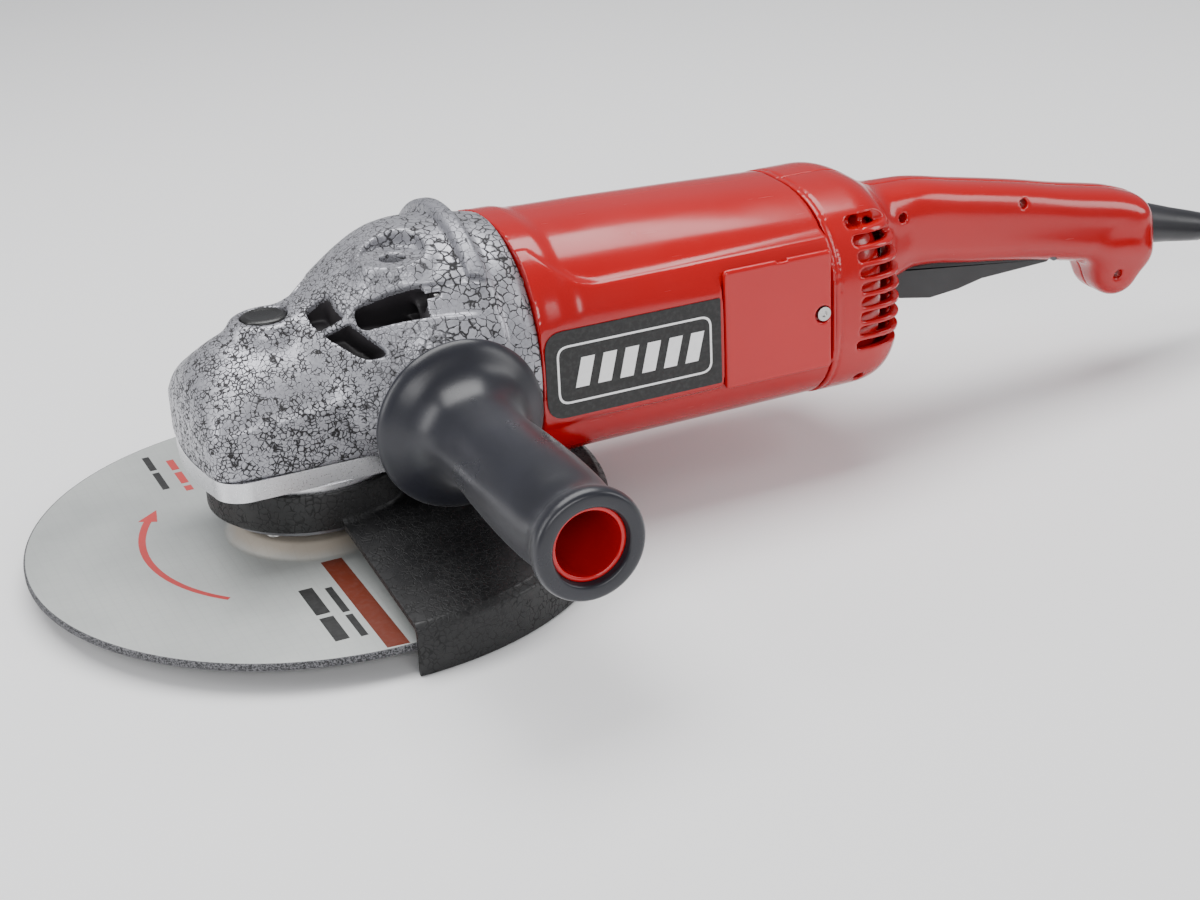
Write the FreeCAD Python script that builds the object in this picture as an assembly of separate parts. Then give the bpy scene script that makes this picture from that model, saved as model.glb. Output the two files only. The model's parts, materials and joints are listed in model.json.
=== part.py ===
import FreeCAD, Part
import math
import os

# A 230 mm angle grinder.  Millimetres, +Z up.  The origin is the centre of the spindle's free end.
# +X runs along the motor towards the rear grip, and the side handle points to -Y.

os.makedirs("parts", exist_ok=True)
V = FreeCAD.Vector
X_AXIS = V(1, 0, 0)
Y_AXIS = V(0, 1, 0)
Z_AXIS = V(0, 0, 1)

# ---------------------------------------------------------------- shared fits and clearances
run_fit = 0.05          # radial clearance of a shaft that turns in its bearing or bush
slide_fit = 0.3         # room round a piece that slides, tilts or turns past another
air_gap = 0.7           # rotor to stator
turn_gap = 0.5          # side clearance of a turning piece

# ---------------------------------------------------------------- overall layout
motor_axis_z = 70.0     # motor axis above the spindle's free end
housing_seam_x = 82.5   # gear housing meets motor housing
handle_seam_x = 214.5   # motor housing meets rear handle
grip_end_x = 405.0

# ---------------------------------------------------------------- disc and spindle nose
disc_radius = 115.0
disc_bore_radius = 11.0
disc_thickness = 3.0
disc_hub_rise = 5.0     # the hub of a depressed-centre disc stands above its rim
disc_hub_radius = 29.0
disc_foot_radius = 35.0
nose_free_length = 3.0  # bare thread below the lock nut
nut_height = 6.5
nut_radius = 20.0
nut_pin_hole_radius = 2.6
flange_radius = 22.0
flange_height = 6.0
pilot_height = 2.4      # the flange's step that centres the disc
thread_radius = 7.0     # M14
tip_chamfer = 0.8       # below the origin, so the full thread starts at it
relief_width = 1.2      # thread relief at the lock nut's outer face
relief_depth = 0.6
spindle_radius = 7.5
spindle_top_radius = 6.0
hub_under_z = nose_free_length + nut_height
hub_top_z = hub_under_z + disc_thickness
rim_under_z = hub_under_z - disc_hub_rise
flange_top_z = hub_top_z + flange_height

# ---------------------------------------------------------------- bevel gears
crown_teeth = 41
pinion_teeth = 10
crown_pitch_radius = 31.0
pinion_pitch_radius = crown_pitch_radius * pinion_teeth / crown_teeth
gear_face = 10.0
gear_module = 2 * crown_pitch_radius / crown_teeth
tooth_addendum = 0.62 * gear_module
tooth_dedendum = 1.1 * gear_module
tooth_thickness = 0.32 * math.pi * gear_module
tooth_tip_share = 0.5   # tip width over pitch width
crown_hub_radius = 13.0
crown_web_thickness = 6.0
lock_hole_count = 4
lock_hole_circle = 16.0
lock_pin_radius = 3.0
lock_hole_radius = lock_pin_radius + slide_fit

# ---------------------------------------------------------------- spindle bearings
lower_bearing_bore = spindle_radius
lower_bearing_radius = 17.5
lower_bearing_width = 11.0
ring_thickness = 2.6    # wall of a ball bearing's rings
bush_wall = 3.0
bush_height = 12.0
seal_height = 3.0

# ---------------------------------------------------------------- bearing cover and guard
cover_top_z = 48.0
cover_thickness = 8.0
cover_half_width = 38.0
cover_front_x = -48.0
cover_rear_x = 40.0
cover_corner = 12.0
cover_under_z = cover_top_z - cover_thickness
hat_radius = 41.0
guard_sheet = 2.0
neck_radius = hat_radius - guard_sheet - slide_fit
hat_lip_radius = 34.0
hat_under_z = 22.0
lip_top_z = hat_under_z + guard_sheet
ring_radius = 37.0
ring_bore_radius = 27.0
ring_height = 2.5
plate_drop = 8.0        # the guard's plate falls this much from hat to skirt
guard_radius = 119.5
guard_under_z = -4.0

# ---------------------------------------------------------------- gear housing
barrel_outline = [(-1.0, 27.0), (14.0, 39.0), (24.0, 46.5), (35.0, 53.0), (48.0, 55.0), (75.0, 54.0)]
barrel_rear_radius = 51.2
ridge_x = 59.0
ridge_width = 8.0
ridge_radius = 57.5
barrel_floor_z = 24.9   # flat underside of the barrel, above the guard's plate
# nose sections: x, half width, height of the upright wall, height of the spine
nose_sections = [
    (-48.0, 25.0, 62.0, 72.0),
    (-45.0, 31.0, 65.0, 80.0),
    (-36.0, 37.0, 68.0, 88.0),
    (-22.0, 38.0, 70.0, 96.0),
    (0.0, 38.0, 70.0, 99.5),
    (20.0, 38.0, 72.0, 108.0),
    (40.0, 38.0, 75.0, 112.0),
]
gear_room_radius = 34.5
gear_room_top_z = 67.0
pinion_room_radius = 11.0
bulkhead_front_x = 40.0
bulkhead_rear_x = 57.0
fan_room_radius = 43.8
duct_inner_radius = 41.0
duct_outer_radius = 49.5
duct_start_x = 8.0
duct_angles = [(12.0, 31.0), (37.0, 54.0)]   # either side of the top
boss_x = 43.4           # side handle and its twin hole
boss_z = 64.2
boss_radius = 15.0
boss_face_y = 56.0
boss_hole_depth = 16.0
top_hole_x = 37.4
top_hole_y = -16.5
top_pad_z = 120.0
top_pad_radius = 9.0
top_hole_depth = 15.0

# ---------------------------------------------------------------- spindle lock
button_x = -11.0
button_radius = 9.0
button_top_z = 101.5
button_height = 9.0
lock_travel = 5.0
lock_spring_wire = 0.8
lock_spring_turns = 5
lock_spring_x = -7.0
lock_spring_radius = 3.2

# ---------------------------------------------------------------- motor
shaft_tip_x = 17.5
pinion_hub_end_x = 36.0
shaft_end_x = 207.0
pinion_shaft_radius = 4.0
shaft_radius = 6.0
core_shaft_radius = 7.5
rear_shaft_radius = 4.0
front_bearing_x = 45.0
front_bearing_width = 10.0
front_bearing_radius = 15.0
rear_bearing_x = 197.0
rear_bearing_width = 8.0
rear_bearing_radius = 11.0
fan_x = 61.0
fan_depth = 17.0
fan_radius = 41.5
fan_blades = 18
fan_blade_thickness = 1.6
fan_hub_radius = 14.0
core_x0 = 98.0
core_x1 = 158.0
core_radius = 24.5
core_slots = 12
core_slot_width = 3.0
core_slot_depth = 8.0
coil_overhang = 9.0
commutator_x = 172.0
commutator_length = 20.0
commutator_radius = 15.0
commutator_bars = 24
stator_radius = 43.0
stator_coil_span = 62.0
stator_coil_inner = 27.5
stator_coil_outer = 36.0
baffle_x = 84.0
baffle_thickness = 2.5
baffle_bore_radius = 33.0
brush_x = 182.0
brush_width = 9.0
brush_depth = 6.0
brush_length = 17.0
holder_wall = 1.5
brush_wire = 0.8
brush_spring_turns = 4
brush_spring_radius = 2.2

# ---------------------------------------------------------------- motor housing
# x, half width, lowest z, highest z, corner radius
motor_sections = [
    (82.5, 50.5, 20.8, 120.0, 38.0),
    (96.0, 50.0, 21.2, 119.6, 38.0),
    (110.0, 49.2, 21.6, 118.0, 38.0),
    (214.5, 49.0, 22.5, 114.0, 38.0),
]
motor_bore_radius = stator_radius
pad_x0 = 83.0
pad_x1 = 213.0
pad_z0 = 49.0
pad_z1 = 101.5
pad_y = 50.0
plate_thickness = 0.4
label_x0 = 84.0
label_x1 = 161.0
label_z0 = 50.5
label_z1 = 87.5
brush_cover_x0 = 162.5
brush_cover_x1 = 212.5
brush_cover_z0 = 46.5
brush_cover_z1 = 98.0
brush_cover_thickness = 2.5
brush_screw_x = 208.5
brush_screw_z = 70.6
housing_screw_circle = 48.0
housing_screw_angles = [45.0, 135.0, 225.0, 315.0]
housing_screw_radius = 2.0
housing_screw_head = 3.8
housing_screw_boss = 4.6
housing_screw_length = 45.0

# ---------------------------------------------------------------- rear cap and grip
cap_end_x = 252.0
cap_corner = 18.0
shell_wall = 2.8
vent_count = 9
vent_pitch = 6.3
vent_height = 4.0
vent_first_z = 50.0
vent_x0 = 229.0
vent_x1 = 243.0
# grip sections: x, half width, lowest z, highest z, corner radius
grip_sections = [
    (246.0, 34.0, 40.0, 106.0, 15.0),
    (262.0, 25.0, 58.0, 104.0, 14.0),
    (276.0, 17.5, 64.5, 102.5, 14.0),
    (306.0, 17.0, 60.0, 97.5, 14.0),
    (338.0, 17.0, 55.0, 90.4, 14.0),
    (358.0, 17.0, 51.5, 85.0, 14.0),
    (384.0, 17.0, 46.0, 81.0, 14.0),
    (405.0, 14.0, 44.0, 72.0, 11.0),
]
horn_points = [(366.0, 60.0), (372.0, 42.0), (379.0, 34.5), (388.0, 32.5), (396.0, 34.0), (403.0, 44.0), (400.0, 60.0)]
horn_half_width = 9.0
handle_screw_places = [(232.0, 102.0), (232.0, 34.0), (266.0, 92.0), (330.0, 86.0), (385.0, 42.0)]
handle_screw_radius = 2.0
handle_screw_head = 3.8
handle_screw_boss = 5.0
handle_screw_seat_y = 10.0
handle_screw_head_height = 3.0
handle_screw_length = 20.0

# ---------------------------------------------------------------- trigger and switch
trigger_half_width = 9.5
trigger_pivot_x = 349.0
trigger_pivot_z = 57.5
trigger_pin_radius = 2.0
trigger_angle = 5.5
trigger_outline = [
    (267.0, 66.5), (266.0, 57.0), (269.0, 51.5), (286.0, 48.6), (301.0, 50.0), (313.0, 52.5),
    (349.0, 53.6), (353.0, 57.5), (349.0, 61.4), (313.0, 66.0),
]
switch_x0 = 284.0
switch_x1 = 324.0
switch_z0 = 75.5
switch_z1 = 91.0
switch_half_width = 9.5
plunger_x = 300.0
plunger_radius = 3.2
plunger_gap = 0.8       # between the trigger's top and the plunger at rest

# ---------------------------------------------------------------- side handle
side_flange_y = -58.0
side_end_y = -180.0
side_flange_radius = 33.8
side_tube_radius = 14.0
side_tube_bore = 12.0
side_unscrew_angle = 2880.0
thread_pitch = 2.0
stud_reach = 14.0

# ---------------------------------------------------------------- cord
cord_radius = 4.5
gland_length = 40.0
gland_radius = 10.0
gland_tip_radius = 6.6

# ---------------------------------------------------------------- spindle key and bearing height
key_width = 4.0
key_rise = 1.6
key_sink = 2.0
lower_bearing_z = 33.5

# ---------------------------------------------------------------- screws of the cover, the ring and the housings
cover_screw_radius = 2.5
cover_screw_head = 4.4
cover_screw_head_height = 4.0
cover_screw_length = 16.0
ring_screw_circle = 31.0
ring_screw_radius = 2.0
ring_screw_head = 3.5
ring_screw_head_height = 2.2
ring_screw_length = 9.0
screw_head_x = 50.0

# ---------------------------------------------------------------- brush gear
holder_outer = 44.0
brush_screw_radius = 1.5
brush_screw_head = 3.0

# ---------------------------------------------------------------- cord outlet, clamp and trigger height
gland_base_x = 388.0
gland_z = 63.5
gland_drop = 0.236      # fall of the cord per unit of length as it leaves the grip
clamp_x = 366.0
clamp_half_width = 11.0
gland_flange_radius = 12.0
gland_flange_length = 4.0
gland_exit = 14.0       # from the root of the flange to the grip's end
trigger_top_z = 66.0

# ---------------------------------------------------------------- put-away coil and plug
coil_x = 568.0
coil_y = -68.0
coil_mean_radius = 49.0
coil_width_turns = 3
coil_layers = 3
plug_half_width = 18.0
plug_half_height = 13.0
plug_length = 46.0
plug_root_x = 500.0
plug_y = -125.0
plug_boot_length = 22.0
pin_radius = 2.4
pin_length = 19.0
pin_spacing = 19.0

floor_z = guard_under_z


# ================================================================ helpers
def cylinder(start, direction, radius, length):
    return Part.makeCylinder(radius, length, V(*start), direction)


def rod_x(x0, x1, radius, y=0.0, z=motor_axis_z):
    return cylinder((x0, y, z), X_AXIS, radius, x1 - x0)


def rod_y(y0, y1, radius, x, z):
    return cylinder((x, y0, z), Y_AXIS, radius, y1 - y0)


def rod_z(z0, z1, radius, x=0.0, y=0.0):
    return cylinder((x, y, z0), Z_AXIS, radius, z1 - z0)


def block(x0, x1, y0, y1, z0, z1):
    return Part.makeBox(x1 - x0, y1 - y0, z1 - z0, V(x0, y0, z0))


def ring_x(x0, x1, inner, outer):
    return rod_x(x0, x1, outer).cut(rod_x(x0 - 1, x1 + 1, inner))


def ring_z(z0, z1, inner, outer):
    return rod_z(z0, z1, outer).cut(rod_z(z0 - 1, z1 + 1, inner))


def face_of(points):
    return Part.Face(Part.makePolygon(points + points[:1]))


def turned_x(outline):
    """Turn an (x, radius) outline about the motor axis."""
    face = face_of([V(x, 0, motor_axis_z + r) for x, r in outline])
    return face.revolve(V(0, 0, motor_axis_z), X_AXIS, 360)


def turned_z(outline, angle=360.0, start=0.0):
    """Turn a (radius, z) outline about the spindle axis, from the start angle."""
    face = face_of([V(r, 0, z) for r, z in outline])
    face.rotate(V(0, 0, 0), Z_AXIS, start)
    return face.revolve(V(0, 0, 0), Z_AXIS, angle)


def turned_y(outline, x, z):
    """Turn a (y, radius) outline about a line along Y."""
    face = face_of([V(x + r, y, z) for y, r in outline])
    return face.revolve(V(x, 0, z), Y_AXIS, 360)


def prism_y(outline, y0, y1):
    """Extrude an (x, z) outline along Y."""
    return face_of([V(x, y0, z) for x, z in outline]).extrude(V(0, y1 - y0, 0))


def around(shape, count, axis=Z_AXIS, centre=V(0, 0, 0), start=0.0):
    copies = []
    for number in range(count):
        copy = shape.copy()
        copy.rotate(centre, axis, start + 360.0 * number / count)
        copies.append(copy)
    return copies


def mirrored(shape):
    return shape.mirror(V(0, 0, 0), Y_AXIS)


def join(shapes):
    first = shapes[0]
    if len(shapes) > 1:
        first = first.fuse(shapes[1:])
    return first.removeSplitter()


def save(name, shape):
    """Write one node, as its own solids only."""
    solids = shape.Solids
    broken = [s for s in solids if not s.isValid() or s.Volume <= 0]
    print(name, len(solids), "solids", round(sum(s.Volume for s in solids)), "mm3", "BROKEN" if broken else "")
    result = solids[0] if len(solids) == 1 else Part.Compound(solids)
    result.exportStep("parts/" + name + ".step")


def rounded_section(x, half_width, z0, z1, corner):
    """A rounded rectangle across the motor axis, as one wire."""
    w = half_width
    c = min(corner, w - 0.5, (z1 - z0) / 2 - 0.5)
    d = c * (1 - math.sqrt(0.5))
    p = [V(x, -w + c, z0), V(x, w - c, z0), V(x, w, z0 + c), V(x, w, z1 - c),
         V(x, w - c, z1), V(x, -w + c, z1), V(x, -w, z1 - c), V(x, -w, z0 + c)]
    mids = [V(x, w - d, z0 + d), V(x, w - d, z1 - d), V(x, -w + d, z1 - d), V(x, -w + d, z0 + d)]
    edges = []
    for number in range(4):
        a, b, c2 = p[2 * number], p[2 * number + 1], p[(2 * number + 2) % 8]
        edges.append(Part.LineSegment(a, b).toShape())
        edges.append(Part.Arc(b, mids[number], c2).toShape())
    return Part.Wire(edges)


def rounded_loft(sections, inset=0.0):
    """Loft rounded sections, optionally set in by a wall."""
    wires = [rounded_section(x, w - inset, z0 + inset, z1 - inset, max(c - inset, 1.0))
             for x, w, z0, z1, c in sections]
    return Part.makeLoft(wires, True, True)


def screw(start, direction, shank_radius, head_radius, head_height, length):
    """A cap screw: its head's underside is at start, and its shank runs along direction."""
    base = V(*start)
    shank = Part.makeCylinder(shank_radius, length, base, direction)
    head = Part.makeCylinder(head_radius, head_height, base - direction * head_height, direction)
    socket = Part.makeCylinder(head_radius * 0.45, head_height * 0.5, base - direction * head_height, direction)
    return head.fuse(shank).cut(socket).removeSplitter()


# ================================================================ disc, spindle and its bearings
def bevel_tooth(pitch_radius, cone_angle, half_width):
    """One straight bevel tooth, in a frame with its apex at the origin and its gear's axis along +Z.

    The tooth lies over +X, and each section is scaled towards the apex.
    """
    cone_length = pitch_radius / math.sin(cone_angle)
    along = V(math.sin(cone_angle), 0, math.cos(cone_angle))
    outward = V(math.cos(cone_angle), 0, -math.sin(cone_angle))
    wires = []
    for length in (cone_length, cone_length - gear_face):
        scale = length / cone_length
        low = -tooth_dedendum * 1.15 * scale
        high = tooth_addendum * scale
        wide = half_width * scale
        root = wide * 1.25
        tip = wide * tooth_tip_share
        centre = along * length
        corners = [centre + outward * low + Y_AXIS * root, centre + Y_AXIS * wide,
                   centre + outward * high + Y_AXIS * tip, centre + outward * high - Y_AXIS * tip,
                   centre - Y_AXIS * wide, centre + outward * low - Y_AXIS * root]
        wires.append(Part.makePolygon(corners + corners[:1]))
    return Part.makeLoft(wires, True, True)


crown_angle = math.atan2(crown_pitch_radius, pinion_pitch_radius)
pinion_angle = math.pi / 2 - crown_angle
heel_length = crown_pitch_radius / math.sin(crown_angle)
toe_share = (heel_length - gear_face) / heel_length


def cone_point(angle, pitch_radius, share, offset):
    """Radius and distance from the apex of a point set off a pitch cone by offset."""
    length = pitch_radius / math.sin(angle) * share
    return (length * math.sin(angle) + offset * share * math.cos(angle),
            length * math.cos(angle) - offset * share * math.sin(angle))


def crown_gear():
    # measured down from the motor axis, where the cones' apex is
    heel_r, heel_d = cone_point(crown_angle, crown_pitch_radius, 1.0, -tooth_dedendum)
    toe_r, toe_d = cone_point(crown_angle, crown_pitch_radius, toe_share, -tooth_dedendum)
    web_under = motor_axis_z - heel_d - crown_web_thickness
    blank = turned_z([(spindle_radius, web_under), (heel_r, web_under), (heel_r, motor_axis_z - heel_d),
                      (toe_r, motor_axis_z - toe_d), (spindle_radius, motor_axis_z - toe_d)])
    tooth = bevel_tooth(crown_pitch_radius, crown_angle, tooth_thickness / 2)
    tooth.rotate(V(0, 0, 0), X_AXIS, 180)
    tooth.translate(V(0, 0, motor_axis_z))
    half_pitch = 180.0 / crown_teeth
    gear = blank.fuse(around(tooth, crown_teeth, start=half_pitch))
    holes = around(rod_z(web_under - 1, motor_axis_z, lock_hole_radius, x=-lock_hole_circle), lock_hole_count)
    keyway = block(spindle_radius - 1, spindle_radius + key_rise, -key_width / 2, key_width / 2,
                   web_under - 1, motor_axis_z)
    return gear.cut(holes + [keyway]), web_under, motor_axis_z - toe_d


def pinion():
    heel_r, heel_d = cone_point(pinion_angle, pinion_pitch_radius, 1.0, -tooth_dedendum)
    toe_r, toe_d = cone_point(pinion_angle, pinion_pitch_radius, toe_share, -tooth_dedendum)
    bore = pinion_shaft_radius
    blank = turned_x([(toe_d, bore), (toe_d, toe_r), (heel_d, heel_r), (heel_d + 1, heel_r + 1.5),
                      (pinion_hub_end_x, heel_r + 1.5), (pinion_hub_end_x, bore)])
    tooth = bevel_tooth(pinion_pitch_radius, pinion_angle, tooth_thickness / 2)
    tooth.rotate(V(0, 0, 0), Y_AXIS, 90)
    tooth.translate(V(0, 0, motor_axis_z))
    teeth = around(tooth, pinion_teeth, axis=X_AXIS, centre=V(0, 0, motor_axis_z))
    return blank.fuse(teeth).cut(rod_x(toe_d - 2, pinion_hub_end_x + 1, bore))


crown, web_under_z, web_top_z = crown_gear()
save("crown_gear", crown)
save("motor_pinion", pinion())

lower_bearing_top_z = lower_bearing_z + lower_bearing_width
bush_z = web_top_z + 10.0
bush_top_z = bush_z + bush_height
seal_z = lower_bearing_z - seal_height - 1.0


def spindle():
    body = turned_z([
        (0, -tip_chamfer), (thread_radius - tip_chamfer, -tip_chamfer), (thread_radius, 0),
        (thread_radius, nose_free_length), (thread_radius - relief_depth, nose_free_length),
        (thread_radius - relief_depth, nose_free_length + relief_width),
        (thread_radius, nose_free_length + relief_width), (thread_radius, hub_top_z),
        (spindle_radius, hub_top_z), (spindle_radius, lower_bearing_top_z),
        (spindle_radius + 1.5, lower_bearing_top_z), (spindle_radius + 1.5, web_under_z),
        (spindle_radius, web_under_z), (spindle_radius, web_top_z + 3),
        (spindle_top_radius, web_top_z + 3), (spindle_top_radius, bush_top_z - 1), (0, bush_top_z - 1)])
    keyway = block(spindle_radius - key_sink, spindle_radius + 1, -key_width / 2, key_width / 2,
                   web_under_z, web_top_z)
    groove = ring_z(web_top_z, web_top_z + 1.2, spindle_radius - 0.8, spindle_radius + 2)
    return body.cut([keyway, groove])


def inner_flange():
    return turned_z([
        (spindle_radius, hub_top_z), (flange_radius, hub_top_z), (flange_radius, hub_top_z + 4),
        (14.0, flange_top_z), (11.0, seal_z - 1.0), (spindle_radius, seal_z - 1.0)]).fuse(
            ring_z(hub_top_z - pilot_height, hub_top_z, thread_radius, disc_bore_radius)).removeSplitter()


def cutting_disc():
    return turned_z([
        (disc_bore_radius, hub_under_z), (disc_hub_radius, hub_under_z), (disc_foot_radius, rim_under_z),
        (disc_radius, rim_under_z), (disc_radius, rim_under_z + disc_thickness),
        (disc_foot_radius, rim_under_z + disc_thickness), (disc_hub_radius, hub_top_z),
        (disc_bore_radius, hub_top_z)])


def lock_nut():
    body = turned_z([
        (thread_radius, nose_free_length), (nut_radius - 5, nose_free_length),
        (nut_radius, nose_free_length + 2.5), (nut_radius, hub_under_z), (thread_radius, hub_under_z)])
    holes = around(rod_z(nose_free_length - 1, nose_free_length + 4, nut_pin_hole_radius, y=12.0), 4)
    return body.cut(holes)


save("spindle", spindle())
save("spindle_key", block(spindle_radius - key_sink, spindle_radius + key_rise, -key_width / 2, key_width / 2,
                          web_under_z, web_top_z))
save("spindle_circlip", ring_z(web_top_z, web_top_z + 1.2, spindle_radius - 0.8, spindle_radius + 2).cut(
    block(spindle_radius - 2, spindle_radius + 4, -2.5, 2.5, web_top_z - 1, web_top_z + 3)))
save("disc_inner_flange", inner_flange())
save("cutting_disc", cutting_disc())
save("disc_lock_nut", lock_nut())
save("spindle_bearing_inner", ring_z(lower_bearing_z, lower_bearing_top_z, lower_bearing_bore,
                                     lower_bearing_bore + ring_thickness))


def sealed_race(inner, outer):
    """Radius and half-section sizes of a sealed bearing's outer race with its two shields."""
    return inner + ring_thickness + run_fit, outer - ring_thickness


def outer_race_z(z0, z1, inner, outer):
    shield, race = sealed_race(inner, outer)
    return ring_z(z0, z1, race, outer).fuse([
        ring_z(z0, z0 + 0.8, shield, race), ring_z(z1 - 0.8, z1, shield, race)]).removeSplitter()


def outer_race_x(x0, x1, inner, outer):
    shield, race = sealed_race(inner, outer)
    return ring_x(x0, x1, race, outer).fuse([
        ring_x(x0, x0 + 0.8, shield, race), ring_x(x1 - 0.8, x1, shield, race)]).removeSplitter()


save("spindle_bearing_outer", outer_race_z(lower_bearing_z, lower_bearing_top_z, lower_bearing_bore,
                                           lower_bearing_radius))
save("spindle_top_bush", ring_z(bush_z, bush_top_z, spindle_top_radius + run_fit, spindle_top_radius + bush_wall))
save("spindle_dust_seal", ring_z(seal_z, seal_z + seal_height, spindle_radius + run_fit, lower_bearing_radius))


# ================================================================ bearing cover, guard and its ring
def cover_plan(x_front, x_rear, half_width, corner, z0, z1, bow=3.0):
    """A plate with two rounded front corners and a slightly bowed front edge."""
    c = corner
    d = c * (1 - math.sqrt(0.5))
    points = [V(x_rear, -half_width, z0), V(x_rear, half_width, z0), V(x_front + bow + c, half_width, z0),
              V(x_front + bow, half_width - c, z0), V(x_front + bow, -half_width + c, z0),
              V(x_front + bow + c, -half_width, z0)]
    edges = [
        Part.LineSegment(points[0], points[1]).toShape(),
        Part.LineSegment(points[1], points[2]).toShape(),
        Part.Arc(points[2], V(x_front + bow + d, half_width - d, z0), points[3]).toShape(),
        Part.Arc(points[3], V(x_front, 0, z0), points[4]).toShape(),
        Part.Arc(points[4], V(x_front + bow + d, -half_width + d, z0), points[5]).toShape(),
        Part.LineSegment(points[5], points[0]).toShape(),
    ]
    return Part.Face(Part.Wire(edges)).extrude(V(0, 0, z1 - z0))


cover_screw_places = [(cover_front_x + 15, -cover_half_width + 6.5), (cover_front_x + 15, cover_half_width - 6.5),
                      (cover_rear_x - 8, -cover_half_width + 5.5), (cover_rear_x - 8, cover_half_width - 5.5)]
ring_top_z = hat_under_z - slide_fit
ring_under_z = ring_top_z - ring_height
neck_under_z = ring_top_z


def cover_screw_shapes(extra):
    return [screw((x, y, cover_under_z + cover_screw_head_height), Z_AXIS, cover_screw_radius + extra,
                  cover_screw_head + extra, cover_screw_head_height + extra, cover_screw_length)
            for x, y in cover_screw_places]


def ring_screw_shapes():
    one = screw((ring_screw_circle, 0, ring_under_z), Z_AXIS, ring_screw_radius, ring_screw_head,
                ring_screw_head_height, ring_height + ring_screw_length)
    return around(one, 4, start=45.0)


def plain_rods(screws_at, radius, z0, z1):
    return [rod_z(z0, z1, radius, x=x, y=y) for x, y in screws_at]


def bearing_cover():
    plate = cover_plan(cover_front_x, cover_rear_x, cover_half_width, cover_corner, cover_under_z, cover_top_z)
    neck = rod_z(neck_under_z, cover_under_z, hat_lip_radius - slide_fit)
    collar = rod_z(lip_top_z + slide_fit, cover_under_z, neck_radius)
    body = join([plate, collar, neck])
    tools = [rod_z(lower_bearing_z, cover_top_z + 1, lower_bearing_radius),
             rod_z(neck_under_z - 1, lower_bearing_z + 1, lower_bearing_radius - 2),
             rod_z(seal_z, seal_z + seal_height, lower_bearing_radius)]
    tools += plain_rods(cover_screw_places, cover_screw_radius, cover_under_z - 1, cover_top_z + 1)
    tools += plain_rods(cover_screw_places, cover_screw_head + slide_fit, cover_under_z - 1,
                        cover_under_z + cover_screw_head_height)
    tools += around(rod_z(neck_under_z - 1, neck_under_z + ring_screw_length, ring_screw_radius,
                          x=ring_screw_circle), 4, start=45.0)
    return body.cut(tools)


def guard_retaining_ring():
    holes = around(rod_z(ring_under_z - 1, ring_top_z + 1, ring_screw_radius, x=ring_screw_circle), 4, start=45.0)
    return ring_z(ring_under_z, ring_top_z, ring_bore_radius, ring_radius).cut(holes)


def disc_guard():
    """A half disc of sheet with a skirt, on a hat that turns on the bearing cover's neck."""
    plate_top_z = hat_under_z + guard_sheet
    t = guard_sheet
    edge_top_z = plate_top_z - plate_drop
    r = guard_radius
    half = turned_z([
        (hat_radius - t, plate_top_z), (hat_radius, plate_top_z), (r - 3, edge_top_z), (r, edge_top_z - 3),
        (r, guard_under_z), (r - t, guard_under_z), (r - t, edge_top_z - 3.5), (r - 3.5, edge_top_z - t),
        (hat_radius - t, hat_under_z)], angle=180.0, start=-90.0)
    hat = turned_z([
        (hat_lip_radius, hat_under_z), (hat_radius, hat_under_z), (hat_radius, cover_under_z - slide_fit),
        (hat_radius - t, cover_under_z - slide_fit), (hat_radius - t, lip_top_z), (hat_lip_radius, lip_top_z)])
    return hat.fuse(half).removeSplitter()


save("bearing_cover", bearing_cover())
save("bearing_cover_screws", Part.Compound(cover_screw_shapes(0.0)))
save("guard_retaining_ring", guard_retaining_ring())
save("guard_ring_screws", Part.Compound(ring_screw_shapes()))
save("disc_guard", disc_guard())


# ================================================================ gear housing
def nose_wire(x, half_width, wall_z, spine_z):
    """Upright walls under a half-elliptical roof."""
    left = V(x, -half_width, wall_z)
    right = V(x, half_width, wall_z)
    rise = spine_z - wall_z
    big, small = max(half_width, rise), min(half_width, rise)
    centre = V(x, 0, wall_z)
    if half_width >= rise:
        ellipse = Part.Ellipse(centre + Y_AXIS * big, centre + Z_AXIS * small, centre)
        arc = Part.ArcOfEllipse(ellipse, 0, math.pi)
    else:
        ellipse = Part.Ellipse(centre + Z_AXIS * big, centre - Y_AXIS * small, centre)
        arc = Part.ArcOfEllipse(ellipse, -math.pi / 2, math.pi / 2)
    return Part.Wire([
        Part.LineSegment(V(x, -half_width, cover_top_z), V(x, half_width, cover_top_z)).toShape(),
        Part.LineSegment(V(x, half_width, cover_top_z), right).toShape(),
        arc.toShape(),
        Part.LineSegment(left, V(x, -half_width, cover_top_z)).toShape()])


def polar_x(radius, angle):
    """Y and Z of a point round the motor axis, with the angle from the top towards -Y."""
    turn = math.radians(angle)
    return -radius * math.sin(turn), motor_axis_z + radius * math.cos(turn)


def sector_x(x0, x1, inner, outer, angle0, angle1):
    face = face_of([V(x0, 0, motor_axis_z + inner), V(x0, 0, motor_axis_z + outer),
                    V(x1, 0, motor_axis_z + outer), V(x1, 0, motor_axis_z + inner)])
    face.rotate(V(0, 0, motor_axis_z), X_AXIS, angle0)
    return face.revolve(V(0, 0, motor_axis_z), X_AXIS, angle1 - angle0)


def housing_screw_rods(x0, x1, radius):
    rods = []
    for angle in housing_screw_angles:
        y, z = polar_x(housing_screw_circle, angle)
        rods.append(rod_x(x0, x1, radius, y=y, z=z))
    return rods


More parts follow.
